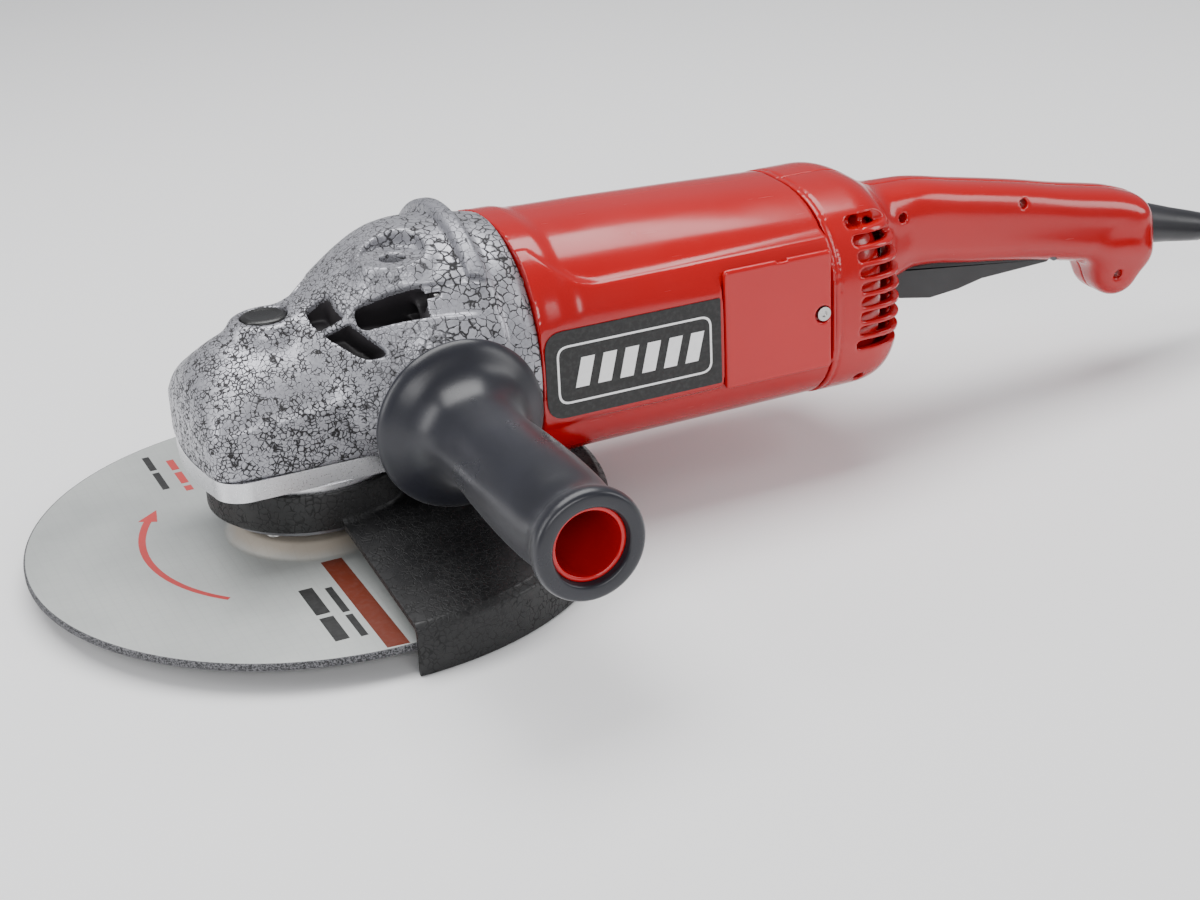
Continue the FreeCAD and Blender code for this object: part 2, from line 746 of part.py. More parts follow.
def gear_housing():
    sections = [nose_wire(*section) for section in nose_sections]
    nose = Part.makeLoft(sections, True, True)
    outline = [(barrel_outline[0][0], 0)] + barrel_outline + [(housing_seam_x, barrel_rear_radius), (housing_seam_x, 0)]
    barrel = turned_x(outline)
    ridge = sector_x(ridge_x, ridge_x + ridge_width, barrel_rear_radius, ridge_radius, -50.0, 50.0)
    barrel = barrel.cut(block(-60, housing_seam_x + 1, -80, 80, 0, barrel_floor_z))
    front_under = block(-60, cover_rear_x + slide_fit, -80, 80, 0, cover_top_z)
    boss = rod_y(-boss_face_y, boss_face_y, boss_radius, boss_x, boss_z)
    pad = rod_z(motor_axis_z, top_pad_z, top_pad_radius, x=top_hole_x, y=top_hole_y)
    lugs = housing_screw_rods(bulkhead_front_x + 8, housing_seam_x, housing_screw_boss)
    body = nose.fuse([barrel.cut(front_under), ridge, boss, pad] + lugs)
    fan_room = rod_x(bulkhead_rear_x, housing_seam_x + 1, fan_room_radius)
    tools = [
        rod_z(0, cover_under_z, hat_radius + 1.0),
        rod_z(cover_top_z - 1, gear_room_top_z, gear_room_radius),
        rod_x(8.0, bulkhead_front_x, pinion_room_radius),
        rod_x(bulkhead_front_x - 1, front_bearing_x, shaft_radius + 2.5),
        rod_x(front_bearing_x, front_bearing_x + front_bearing_width, front_bearing_radius),
        rod_x(front_bearing_x + front_bearing_width - 1, bulkhead_rear_x + 1, front_bearing_radius - 3),
        fan_room,
        rod_z(bush_z, bush_top_z, spindle_top_radius + bush_wall),
        rod_z(gear_room_top_z - 1, bush_z + 1, spindle_radius + 2.5),
        rod_z(gear_room_top_z - 1, button_top_z, lock_pin_radius + run_fit, x=-lock_hole_circle),
        rod_z(button_top_z - button_height - lock_travel - slide_fit, 130, button_radius + slide_fit, x=button_x),
    ]
    for side in (-1, 1):
        face = side * boss_face_y
        inner = side * (boss_face_y - boss_hole_depth)
        tools.append(rod_y(min(face, inner), max(face, inner) + 1, thread_radius, boss_x, boss_z)
                     if side > 0 else rod_y(face - 1, inner, thread_radius, boss_x, boss_z))
    tools.append(rod_z(top_pad_z - top_hole_depth, top_pad_z + 5, thread_radius, x=top_hole_x, y=top_hole_y))
    tools.append(rod_z(top_pad_z, top_pad_z + 20, top_pad_radius + 3, x=top_hole_x, y=top_hole_y))
    keep = Part.Compound(housing_screw_rods(screw_head_x, housing_seam_x, housing_screw_boss))
    for low, high in duct_angles:
        for side in (1, -1):
            duct = sector_x(duct_start_x, bulkhead_rear_x + 1, duct_inner_radius, duct_outer_radius,
                            min(side * low, side * high), max(side * low, side * high))
            tools.append(duct.cut(keep))
    tools += housing_screw_rods(screw_head_x, housing_seam_x + 1, housing_screw_radius)
    tools += housing_screw_rods(-20, screw_head_x, housing_screw_head + slide_fit)
    tools += plain_rods(cover_screw_places, cover_screw_radius, cover_top_z - 1,
                        cover_under_z + cover_screw_head_height + cover_screw_length)
    return body.cut(tools)


save("gear_housing", gear_housing())
save("gear_housing_screws", Part.Compound([
    screw((screw_head_x, *polar_x(housing_screw_circle, angle)), X_AXIS, housing_screw_radius, housing_screw_head,
          4.0, housing_screw_length) for angle in housing_screw_angles]))


# ================================================================ spindle lock
def lock_button():
    z0 = button_top_z - button_height
    body = rod_z(z0, button_top_z, button_radius, x=button_x)
    edges = [e for e in body.Edges if abs(e.BoundBox.ZMin - button_top_z) < 1e-6
             and abs(e.BoundBox.ZMax - button_top_z) < 1e-6]
    return body.makeFillet(1.2, edges)


button_seat_z = button_top_z - button_height
pin_bottom_z = web_top_z + 1.0


def lock_spring():
    """A coil spring between the pocket's floor and the button, as one swept coil."""
    low = button_seat_z - lock_travel - slide_fit + lock_spring_wire / 2 + 0.05
    high = button_seat_z - lock_spring_wire / 2 - 0.05
    coil_radius = lock_spring_radius
    helix = Part.makeHelix((high - low) / lock_spring_turns, high - low, coil_radius)
    start = V(coil_radius, 0, 0)
    section = Part.Wire(Part.makeCircle(lock_spring_wire / 2, start, Y_AXIS))
    coil = Part.Wire(helix.Edges).makePipeShell([section], True, True)
    coil.translate(V(lock_spring_x, 0, low))
    return coil


save("spindle_lock_button", lock_button())
save("spindle_lock_pin", rod_z(pin_bottom_z, button_seat_z, lock_pin_radius, x=-lock_hole_circle))
save("spindle_lock_spring", lock_spring())


# ================================================================ motor
def motor_fan():
    hub = ring_x(fan_x, fan_x + fan_depth, core_shaft_radius, fan_hub_radius)
    disc = ring_x(fan_x, fan_x + 2, core_shaft_radius, fan_radius)
    blade = block(fan_x, fan_x + fan_depth, -fan_blade_thickness / 2, fan_blade_thickness / 2,
                  motor_axis_z + fan_hub_radius - 1, motor_axis_z + fan_radius)
    blade.rotate(V(0, 0, motor_axis_z + fan_hub_radius), Z_AXIS, 0)
    blades = around(blade, fan_blades, axis=X_AXIS, centre=V(0, 0, motor_axis_z))
    return disc.fuse([hub] + blades)


def armature_shaft():
    return turned_x([
        (shaft_tip_x, 0), (shaft_tip_x, pinion_shaft_radius), (pinion_hub_end_x, pinion_shaft_radius),
        (pinion_hub_end_x, shaft_radius),
        (front_bearing_x + front_bearing_width, shaft_radius),
        (front_bearing_x + front_bearing_width, core_shaft_radius), (rear_bearing_x - 3, core_shaft_radius),
        (rear_bearing_x - 3, rear_shaft_radius), (shaft_end_x, rear_shaft_radius), (shaft_end_x, 0)])


def armature_core():
    body = ring_x(core_x0, core_x1, core_shaft_radius, core_radius)
    slot = block(core_x0 - 1, core_x1 + 1, -core_slot_width / 2, core_slot_width / 2,
                 motor_axis_z + core_radius - core_slot_depth, motor_axis_z + core_radius + 1)
    return body.cut(around(slot, core_slots, axis=X_AXIS, centre=V(0, 0, motor_axis_z)))


def armature_windings():
    """End turns each side of the core, joined by the bars that fill its slots."""
    outer = core_radius - 1.5
    inner = core_shaft_radius + 1
    front = ring_x(core_x0 - coil_overhang, core_x0, inner, outer)
    rear = ring_x(core_x1, core_x1 + coil_overhang, inner, outer)
    bar = block(core_x0 - 1, core_x1 + 1, -core_slot_width / 2, core_slot_width / 2,
                motor_axis_z + core_radius - core_slot_depth, motor_axis_z + outer)
    return front.fuse([rear] + around(bar, core_slots, axis=X_AXIS, centre=V(0, 0, motor_axis_z)))


def commutator():
    body = ring_x(commutator_x, commutator_x + commutator_length, core_shaft_radius, commutator_radius)
    slit = block(commutator_x - 1, commutator_x + commutator_length + 1, -0.3, 0.3,
                 motor_axis_z + commutator_radius - 1.2, motor_axis_z + commutator_radius + 1)
    return body.cut(around(slit, commutator_bars, axis=X_AXIS, centre=V(0, 0, motor_axis_z), start=7.5))


def stator_core():
    """A laminated ring with two poles, above and below the rotor, and room for their coils at the sides."""
    ring = ring_x(core_x0, core_x1, core_radius + air_gap, stator_radius)
    window = ring_x(core_x0 - 1, core_x1 + 1, stator_coil_inner - 1, stator_coil_outer + 0.5)
    half = stator_coil_span / 2
    keep = [sector_x(core_x0 - 2, core_x1 + 2, 1.0, stator_radius + 2, a - 90 + half, a + 90 - half)
            for a in (0.0, 180.0)]
    return ring.cut(window.cut(keep))


def stator_windings():
    """Four coil sides along the rotor, closed over the core's ends in pairs."""
    half = stator_coil_span / 2
    coils = []
    for centre in (90.0, -90.0):
        side = sector_x(core_x0 - coil_overhang, core_x1 + coil_overhang, stator_coil_inner, stator_coil_outer,
                        centre - half + 1, centre + half - 1)
        coils.append(side)
    ends = []
    for x0, x1 in ((core_x0 - coil_overhang, core_x0 - 1), (core_x1 + 1, core_x1 + coil_overhang)):
        ends.append(ring_x(x0, x1, stator_coil_inner, stator_coil_outer))
    return coils[0].fuse(coils[1:] + ends)


def front_race():
    return outer_race_x(front_bearing_x, front_bearing_x + front_bearing_width, shaft_radius, front_bearing_radius)


save("armature_shaft", armature_shaft())
save("armature_core", armature_core())
save("armature_windings", armature_windings())
save("armature_commutator", commutator())
save("motor_fan", motor_fan())
save("stator_core", stator_core())
save("stator_windings", stator_windings())
save("armature_front_bearing_outer", front_race())
save("armature_front_bearing_inner", ring_x(front_bearing_x, front_bearing_x + front_bearing_width, shaft_radius,
                                            shaft_radius + ring_thickness))
save("armature_rear_bearing_outer", outer_race_x(rear_bearing_x, rear_bearing_x + rear_bearing_width,
                                                 rear_shaft_radius, rear_bearing_radius))
save("armature_rear_bearing_inner", ring_x(rear_bearing_x, rear_bearing_x + rear_bearing_width, rear_shaft_radius,
                                           rear_shaft_radius + ring_thickness))
save("air_baffle", ring_x(baffle_x, baffle_x + baffle_thickness, baffle_bore_radius, motor_bore_radius))

# ================================================================ motor housing
brush_z = motor_axis_z
holder_inner = commutator_radius + 1.0
rear_web_x = rear_bearing_x - 2.5
rear_web_end = rear_bearing_x + rear_bearing_width + 1.5


def brush_pair(make):
    """The near piece and its twin, half a turn away."""
    near = make()
    far = near.copy()
    far.rotate(V(brush_x, 0, 0), Z_AXIS, 180)
    return Part.Compound([near, far])


def brush_block(y0, y1, width, height, hollow=0.0):
    outer = block(brush_x - width / 2, brush_x + width / 2, y0, y1, brush_z - height / 2, brush_z + height / 2)
    if hollow:
        outer = outer.cut(block(brush_x - width / 2 + hollow, brush_x + width / 2 - hollow, y0 + 1, y1 + 1,
                                brush_z - height / 2 + hollow, brush_z + height / 2 - hollow))
    return outer


brush_seat = commutator_radius + slide_fit
brush_end = brush_seat + brush_length
box_width = brush_depth + 2 * holder_wall
box_height = brush_width + 2 * holder_wall


def motor_housing():
    outer = rounded_loft(motor_sections)
    tools = [rod_x(housing_seam_x - 1, core_x1 + 14, motor_bore_radius)]
    inner = rounded_loft([(core_x1 + 13, 46.0, 26.0, 112.0, 30.0), (handle_seam_x + 1, 46.0, 26.0, 111.0, 30.0)])
    web = rod_x(rear_web_x, rear_web_end, 16.0)
    arms = [block(rear_web_x, rear_web_end, -48, 48, motor_axis_z - 5, motor_axis_z + 5),
            block(rear_web_x, rear_web_end, -5, 5, 24, 113)]
    for y0, y1 in ((-holder_outer, -20), (20, holder_outer)):
        arms.append(block(brush_x + box_width / 2, rear_web_x + 1, y0, y1, motor_axis_z - 5, motor_axis_z + 5))
    bridge = join([web] + arms)
    bridge = bridge.cut([rod_x(rear_bearing_x, rear_web_end + 1, rear_bearing_radius),
                         rod_x(rear_web_x - 1, rear_bearing_x + 1, core_shaft_radius + turn_gap)])
    pads = [block(pad_x0, pad_x1, side * pad_y if side < 0 else 40, -40 if side < 0 else pad_y, pad_z0 - 1, pad_z1)
            for side in (-1, 1)]
    body = outer.fuse(pads)
    body = body.cut(tools + [inner.cut(bridge)])
    windows = [block(brush_cover_x0 + 4, brush_cover_x1 - 9, -60, 60, brush_cover_z0 + 5, brush_cover_z1 - 6)]
    recess = [block(brush_cover_x0 - slide_fit, brush_cover_x1 + slide_fit, y0, y1,
                    brush_cover_z0 - slide_fit, brush_cover_z1 + slide_fit)
              for y0, y1 in ((-60, -pad_y + brush_cover_thickness), (pad_y - brush_cover_thickness, 60))]
    label_recess = [block(label_x0, label_x1, y0, y1, label_z0, label_z1)
                    for y0, y1 in ((-60, -pad_y + plate_thickness), (pad_y - plate_thickness, 60))]
    rods = housing_screw_rods(housing_seam_x - 1, screw_head_x + housing_screw_length, housing_screw_radius)
    screw_holes = [rod_y(-pad_y, pad_y, brush_screw_radius, brush_screw_x, brush_screw_z)]
    body = body.cut(windows + recess + label_recess + rods)
    lugs = [block(brush_screw_x - 4, brush_screw_x + 3.5, y0, y1, brush_screw_z - 4, brush_screw_z + 4)
            for y0, y1 in ((-pad_y + brush_cover_thickness, -40), (40, pad_y - brush_cover_thickness))]
    return body.fuse(lugs).cut(screw_holes).removeSplitter()


def brush_cover(side):
    y0, y1 = (-pad_y, -pad_y + brush_cover_thickness) if side < 0 else (pad_y - brush_cover_thickness, pad_y)
    plate = block(brush_cover_x0, brush_cover_x1, y0, y1, brush_cover_z0, brush_cover_z1)
    corners = [e for e in plate.Edges if abs(e.BoundBox.YLength - brush_cover_thickness) < 1e-6]
    plate = plate.makeFillet(3.0, corners)
    holes = [rod_y(-60, 60, brush_screw_radius, brush_screw_x, brush_screw_z)]
    sink = pad_y - 1.6
    holes.append(rod_y(-60, -sink, brush_screw_head + 0.1, brush_screw_x, brush_screw_z) if side < 0
                 else rod_y(sink, 60, brush_screw_head + 0.1, brush_screw_x, brush_screw_z))
    return plate.cut(holes)


def brush_cover_screws():
    near = screw((brush_screw_x, -pad_y + 1.6, brush_screw_z), Y_AXIS, brush_screw_radius, brush_screw_head, 1.4, 8.0)
    return Part.Compound([near, mirrored(near)])


def label_plate(side):
    y0, y1 = (-pad_y, -pad_y + plate_thickness) if side < 0 else (pad_y - plate_thickness, pad_y)
    plate = block(label_x0, label_x1, y0, y1, label_z0, label_z1)
    ends = [e for e in plate.Edges if abs(e.BoundBox.YLength - plate_thickness) < 1e-6
            and abs(e.BoundBox.XMin - label_x0) < 1e-6]
    return plate.makeFillet(8.0, ends)


def brush_spring(side):
    """A coil spring between the brush and its holder's outer end, on one side."""
    low = brush_end + brush_wire / 2 + 0.05
    high = holder_outer - brush_wire / 2 - 1.0
    helix = Part.makeHelix((high - low) / brush_spring_turns, high - low, brush_spring_radius)
    section = Part.Wire(Part.makeCircle(brush_wire / 2, V(brush_spring_radius, 0, 0), Y_AXIS))
    coil = Part.Wire(helix.Edges).makePipeShell([section], True, True)
    coil.rotate(V(0, 0, 0), X_AXIS, -90 * side)
    coil.translate(V(brush_x, low * side, brush_z))
    return coil


save("motor_housing", motor_housing())
save("side_plate_left", label_plate(-1))
save("side_plate_right", label_plate(1))
save("brush_cover_left", brush_cover(-1))
save("brush_cover_right", brush_cover(1))
save("brush_cover_screws", brush_cover_screws())
save("brush_holders", brush_pair(lambda: brush_block(-holder_outer, -holder_inner, box_width, box_height, holder_wall)))
save("carbon_brushes", brush_pair(lambda: brush_block(-brush_end, -brush_seat, brush_depth, brush_width)))
save("brush_springs", Part.Compound([brush_spring(-1), brush_spring(1)]))


# ================================================================ rear cap and grip, in two halves
def outer_handle():
    x, w, z0, z1, c = motor_sections[-1]
    cap = rounded_loft([(handle_seam_x, w, z0, z1, c), (cap_end_x - cap_corner, w - 0.5, z0 + 0.5, z1 - 0.5, c),
                        (cap_end_x - 4, w - 9, z0 + 9, z1 - 8, c - 8), (cap_end_x, w - 15, z0 + 15, z1 - 13, c - 12)])
    grip = rounded_loft(grip_sections)
    horn = prism_y(horn_points, -horn_half_width, horn_half_width)
    return join([cap, grip, horn])


def inner_handle():
    t = shell_wall
    x, w, z0, z1, c = motor_sections[-1]
    cap = rounded_loft([(handle_seam_x - 1, w - t, z0 + t, z1 - t, c - t),
                        (cap_end_x - cap_corner, w - t - 0.5, z0 + t + 0.5, z1 - t - 0.5, c - t),
                        (cap_end_x - 4 - t, w - 9 - t, z0 + 9 + t, z1 - 8 - t, c - 10)])
    sections = [(x, w, z0, z1, c) for x, w, z0, z1, c in grip_sections[:-1]]
    last = grip_sections[-1]
    sections.append((last[0] - t, last[1], last[2] + 0.3, last[3] + 0.6, last[4]))
    return join([cap, rounded_loft(sections, inset=t)])


gland_direction = V(math.cos(math.atan(gland_drop)), 0, -math.sin(math.atan(gland_drop)))


def gland_at(distance):
    """A point on the line of the gland, at a distance from the root of its flange."""
    return V(gland_base_x, 0, gland_z) + gland_direction * distance


gland_total = gland_exit + gland_length


def trigger_room():
    """The slot in the grip's underside, as wide as the trigger and a clearance each side."""
    w = trigger_half_width + slide_fit
    return block(trigger_outline[1][0] - 0.6, trigger_pivot_x + 5.5, -w, w, 40, 74.6)


def switch_shell():
    return block(switch_x0, switch_x1, -switch_half_width, switch_half_width, switch_z0, switch_z1)


def screw_holes(radius, y0, y1):
    return [rod_y(y0, y1, radius, x, z) for x, z in handle_screw_places]


def solid_volume(solid):
    return solid.Volume


def vents():
    slots = []
    for number in range(vent_count):
        z = vent_first_z + number * vent_pitch
        for side in (-1, 1):
            y0, y1 = (-60, -38) if side < 0 else (38, 60)
            slots.append(block(vent_x0, vent_x1, y0, y1, z, z + vent_height))
    return slots


def rear_handle(side):
    """One half.  The halves meet on the centre plane, and the right one holds the screws' heads."""
    shell = outer_handle().cut([inner_handle(), trigger_room()] + vents())
    posts = [rod_y(-60, 60, handle_screw_boss, x, z) for x, z in handle_screw_places]
    posts += [block(trigger_pivot_x - 4.5, trigger_pivot_x + 4.5, -14.5, -trigger_half_width - slide_fit, 53.8, 63),
              block(trigger_pivot_x - 4.5, trigger_pivot_x + 4.5, trigger_half_width + slide_fit, 14.5, 53.8, 63)]
    for x in (switch_x0 + 4, switch_x1 - 8):
        posts += [block(x, x + 4, -15.5, 15.5, switch_z0 + 2, switch_z1 + 4)]
    posts.append(block(gland_base_x - 3.0, gland_base_x - 1.0, -15.5, 15.5, 50, 76))
    inside = outer_handle().common(Part.Compound(posts))
    body = shell.fuse(inside)
    tools = [switch_shell()] + screw_holes(handle_screw_radius, -60, 60)
    tools += screw_holes(handle_screw_head + slide_fit, handle_screw_seat_y, 60)
    tools.append(Part.makeCylinder(gland_flange_radius, gland_flange_length, gland_at(0), gland_direction))
    tools.append(Part.makeCylinder(gland_radius, 60, gland_at(0), gland_direction))
    tools.append(Part.makeCylinder(cord_radius, 40, gland_at(-30), gland_direction))
    tools.append(rod_y(-13, 13, trigger_pin_radius, trigger_pivot_x, trigger_pivot_z))
    half = block(200, 420, -70, 0, 0, 140) if side < 0 else block(200, 420, 0, 70, 0, 140)
    body = body.common(half).cut(tools)
    return max(body.Solids, key=solid_volume)


def handle_screws():
    return Part.Compound([screw((x, handle_screw_seat_y, z), -Y_AXIS, handle_screw_radius, handle_screw_head,
                                handle_screw_head_height, handle_screw_length)
                          for x, z in handle_screw_places])


save("rear_handle_left", rear_handle(-1))
save("rear_handle_right", rear_handle(1))
save("rear_handle_screws", handle_screws())

# ================================================================ trigger, switch and strain relief
plunger_low_z = trigger_top_z + plunger_gap


def trigger():
    body = prism_y(trigger_outline, -trigger_half_width, trigger_half_width)
    return body.cut(rod_y(-20, 20, trigger_pin_radius + run_fit, trigger_pivot_x, trigger_pivot_z))


def switch_body():
    room = rod_z(switch_z0 - 1, switch_z0 + 10, plunger_radius + slide_fit, x=plunger_x)
    return switch_shell().cut(room)


save("trigger", trigger())
save("trigger_pin", rod_y(-13, 13, trigger_pin_radius, trigger_pivot_x, trigger_pivot_z))
save("switch_body", switch_body())
save("switch_plunger", rod_z(plunger_low_z, switch_z0 + 3.5, plunger_radius, x=plunger_x))


def strain_relief():
    flange = Part.makeCylinder(gland_flange_radius, gland_flange_length, gland_at(0), gland_direction)
    root = Part.makeCylinder(gland_radius, gland_exit, gland_at(0), gland_direction)
    boot = Part.makeCone(gland_radius, gland_tip_radius, gland_length, gland_at(gland_exit), gland_direction)
    bore = Part.makeCylinder(cord_radius, gland_total + 2, gland_at(-1), gland_direction)
    return join([flange, root, boot]).cut(bore)


save("strain_relief", strain_relief())

# ================================================================ side handle
def side_handle_grip():
    """A rubber grip over a plastic tube: a wide flange, a waist, a palm swell and an end lip."""
    profile = [(side_flange_y, side_tube_radius), (side_flange_y, side_flange_radius - 2),
               (side_flange_y - 3, side_flange_radius), (side_flange_y - 7, side_flange_radius - 2),
               (side_flange_y - 12, 25.0), (side_flange_y - 20, 19.5), (side_flange_y - 30, 17.5),
               (side_flange_y - 55, 18.8), (side_flange_y - 80, 19.4), (side_flange_y - 105, 18.6),
               (side_flange_y - 113, 19.2), (side_flange_y - 117, 20.6), (side_end_y + 2, 20.6),
               (side_end_y, 19.0), (side_end_y, side_tube_radius)]
    return turned_y(profile, boss_x, boss_z)


def side_handle_tube():
    end_wall = 12.0
    return turned_y([(side_flange_y, thread_radius), (side_flange_y, side_tube_radius),
                     (side_end_y + 3, side_tube_radius), (side_end_y + 3, side_tube_bore),
                     (side_flange_y - end_wall, side_tube_bore), (side_flange_y - end_wall, thread_radius)],
                    boss_x, boss_z)


def side_handle_stud():
    tip_y = -boss_face_y + stud_reach
    shank = rod_y(side_flange_y - 12, -boss_face_y - 0.3, thread_radius, boss_x, boss_z)
    entry = rod_y(-boss_face_y - 1, tip_y, thread_radius - run_fit, boss_x, boss_z)
    head = rod_y(side_flange_y - 17, side_flange_y - 12, side_tube_bore - 0.5, boss_x, boss_z)
    return join([shank, entry, head])


save("side_handle_grip", side_handle_grip())
save("side_handle_tube", side_handle_tube())
save("side_handle_stud", side_handle_stud())

# ================================================================ cord, put-away coil and plug
coil_inner = coil_mean_radius - coil_width_turns * cord_radius
coil_outer = coil_mean_radius + coil_width_turns * cord_radius
coil_height = 2 * cord_radius * coil_layers
plug_z = floor_z + plug_half_height

cord_start = gland_at(gland_total)
lead_route = [cord_start, V(471.0, 0, 44.0), V(499.0, -0.8, 28.5), V(522.0, -3.0, 12.5), V(547.0, -6.5, 3.0),
              V(571.0, -10.5, floor_z + cord_radius)]
tail_route = [V(563.0, -125.6, 17.5), V(542.0, -127.4, 13.2), V(520.0, -126.0, 10.2), V(plug_root_x, plug_y, plug_z)]


def tube(name, route):
    """Straight runs joined by tangent arcs, as large as the runs allow."""
    edges = []
    here = route[0]
    length = 0.0
    for number in range(1, len(route) - 1):
        before, corner, after = route[number - 1], route[number], route[number + 1]
        into = (corner - before).normalize()
        out = (after - corner).normalize()
        turn = into.getAngle(out)
        shorter = min(corner.distanceToPoint(before), corner.distanceToPoint(after))
        setback = 0.45 * shorter
        radius = setback / math.tan(turn / 2)
        start = corner - into * setback
        end = corner + out * setback
        bisector = (out - into).normalize()
        middle = corner + bisector * (radius / math.cos(turn / 2) - radius)
        edges.append(Part.LineSegment(here, start).toShape())
        edges.append(Part.Arc(start, middle, end).toShape())
        length += here.distanceToPoint(start) + radius * turn
        print(name, "bend", number, "radius", round(radius, 1), "turn", round(math.degrees(turn), 1))
        here = end
    edges.append(Part.LineSegment(here, route[-1]).toShape())
    length += here.distanceToPoint(route[-1])
    path = Part.Wire(edges)
    section = Part.Wire(Part.makeCircle(cord_radius, route[0], route[1] - route[0]))
    solid = path.makePipeShell([section], True, False)
    expected = math.pi * cord_radius ** 2 * length
    print(name, "length", round(length, 1), "volume over section x length", round(solid.Volume / expected, 4))
    return solid


def plug_body():
    half = [(plug_root_x - plug_boot_length, plug_half_width - 4, plug_z - plug_half_height + 3,
             plug_z + plug_half_height - 3, 9.0),
            (plug_root_x - plug_boot_length - 14, plug_half_width, plug_z - plug_half_height,
             plug_z + plug_half_height, 11.0),
            (plug_root_x - plug_boot_length - plug_length, plug_half_width - 0.5, plug_z - plug_half_height + 0.5,
             plug_z + plug_half_height - 0.5, 11.0)]
    body = rounded_loft(half[::-1])
    body.translate(V(0, plug_y, 0))
    boot = Part.makeCone(cord_radius + 1.2, plug_half_height - 4, plug_boot_length, V(plug_root_x, plug_y, plug_z),
                         V(-1, 0, 0))
    return join([body, boot])


plug_face_x = plug_root_x - plug_boot_length - plug_length


def plug_pins():
    return Part.Compound([rod_x(plug_face_x - pin_length, plug_face_x, pin_radius, y=plug_y + side * pin_spacing / 2,
                                z=plug_z) for side in (-1, 1)])


def cord_clamp():
    """A bar that holds the cord down inside the grip, with a hole for it and two screw posts."""
    bar = block(clamp_x, clamp_x + 7, -clamp_half_width, clamp_half_width, 60.5, 77.0)
    return bar.cut(Part.makeCylinder(cord_radius, 60, gland_at(-40), gland_direction))


inner_cord = Part.makeCylinder(cord_radius, gland_total + 26, gland_at(-26), gland_direction)
save("cord_clamp", cord_clamp())
save("power_cord", Part.Compound([tube("lead", lead_route), inner_cord]))
save("power_cord_tail", tube("tail", tail_route))
coil = ring_z(floor_z, floor_z + coil_height, coil_inner, coil_outer)
coil.translate(V(coil_x, coil_y, 0))
save("cord_coil", coil)
save("plug_body", plug_body())
save("plug_pins", plug_pins())
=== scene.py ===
import json
import math

import bmesh
import bpy
import numpy as np
import openvdb
from mathutils import Matrix, Vector


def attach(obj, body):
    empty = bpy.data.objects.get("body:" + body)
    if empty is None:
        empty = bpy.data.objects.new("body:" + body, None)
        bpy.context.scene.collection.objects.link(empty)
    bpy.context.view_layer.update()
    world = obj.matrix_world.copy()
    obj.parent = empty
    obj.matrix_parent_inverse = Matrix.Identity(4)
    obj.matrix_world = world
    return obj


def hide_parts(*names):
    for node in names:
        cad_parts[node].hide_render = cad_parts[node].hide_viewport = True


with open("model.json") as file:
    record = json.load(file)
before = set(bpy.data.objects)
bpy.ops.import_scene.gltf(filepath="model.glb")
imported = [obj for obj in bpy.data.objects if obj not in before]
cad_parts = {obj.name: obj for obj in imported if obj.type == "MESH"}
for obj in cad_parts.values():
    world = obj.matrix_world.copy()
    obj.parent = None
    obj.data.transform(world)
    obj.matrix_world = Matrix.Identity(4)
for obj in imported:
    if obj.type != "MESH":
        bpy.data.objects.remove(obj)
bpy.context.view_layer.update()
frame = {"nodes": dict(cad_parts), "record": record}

# Sizes below are in millimetres, in the row's frame, and become metres where a mesh is made.
MM = 0.001
AXIS_Z = 70.0            # motor axis
SEAM_FRONT = 82.5        # gear housing to motor housing
SEAM_REAR = 214.5        # motor housing to rear handle
FLOOR_Z = -4.0
CORD_RADIUS = 4.5
GRID = 0.85      # spacing of the grid that the moulded and cast shells are made on


# ---------------------------------------------------------------- camera
def make_camera():
    """The viewing angle of the picture: from the front left, above, with a slight roll."""
    azimuth, elevation, roll = (math.radians(a) for a in (-23.94, 24.6, -2.79))
    distance = 0.7784
    target = Vector((0.07336, -0.12218, 0.07))
    level_part = math.cos(elevation)
    back = Vector((math.sin(azimuth) * level_part, -math.cos(azimuth) * level_part, math.sin(elevation)))
    level = Vector((math.cos(azimuth), math.sin(azimuth), 0))
    upright = back.cross(level)
    right = level * math.cos(roll) + upright * math.sin(roll)
    up = upright * math.cos(roll) - level * math.sin(roll)
    data = bpy.data.cameras.new("camera")
    data.lens = 65.35
    data.sensor_width = 36.0
    data.clip_start = 0.01
    camera = bpy.data.objects.new("camera", data)
    bpy.context.scene.collection.objects.link(camera)
    turn = Matrix((right, up, back)).transposed().to_4x4()
    camera.matrix_world = Matrix.Translation(target + back * distance) @ turn
    bpy.context.scene.camera = camera


make_camera()


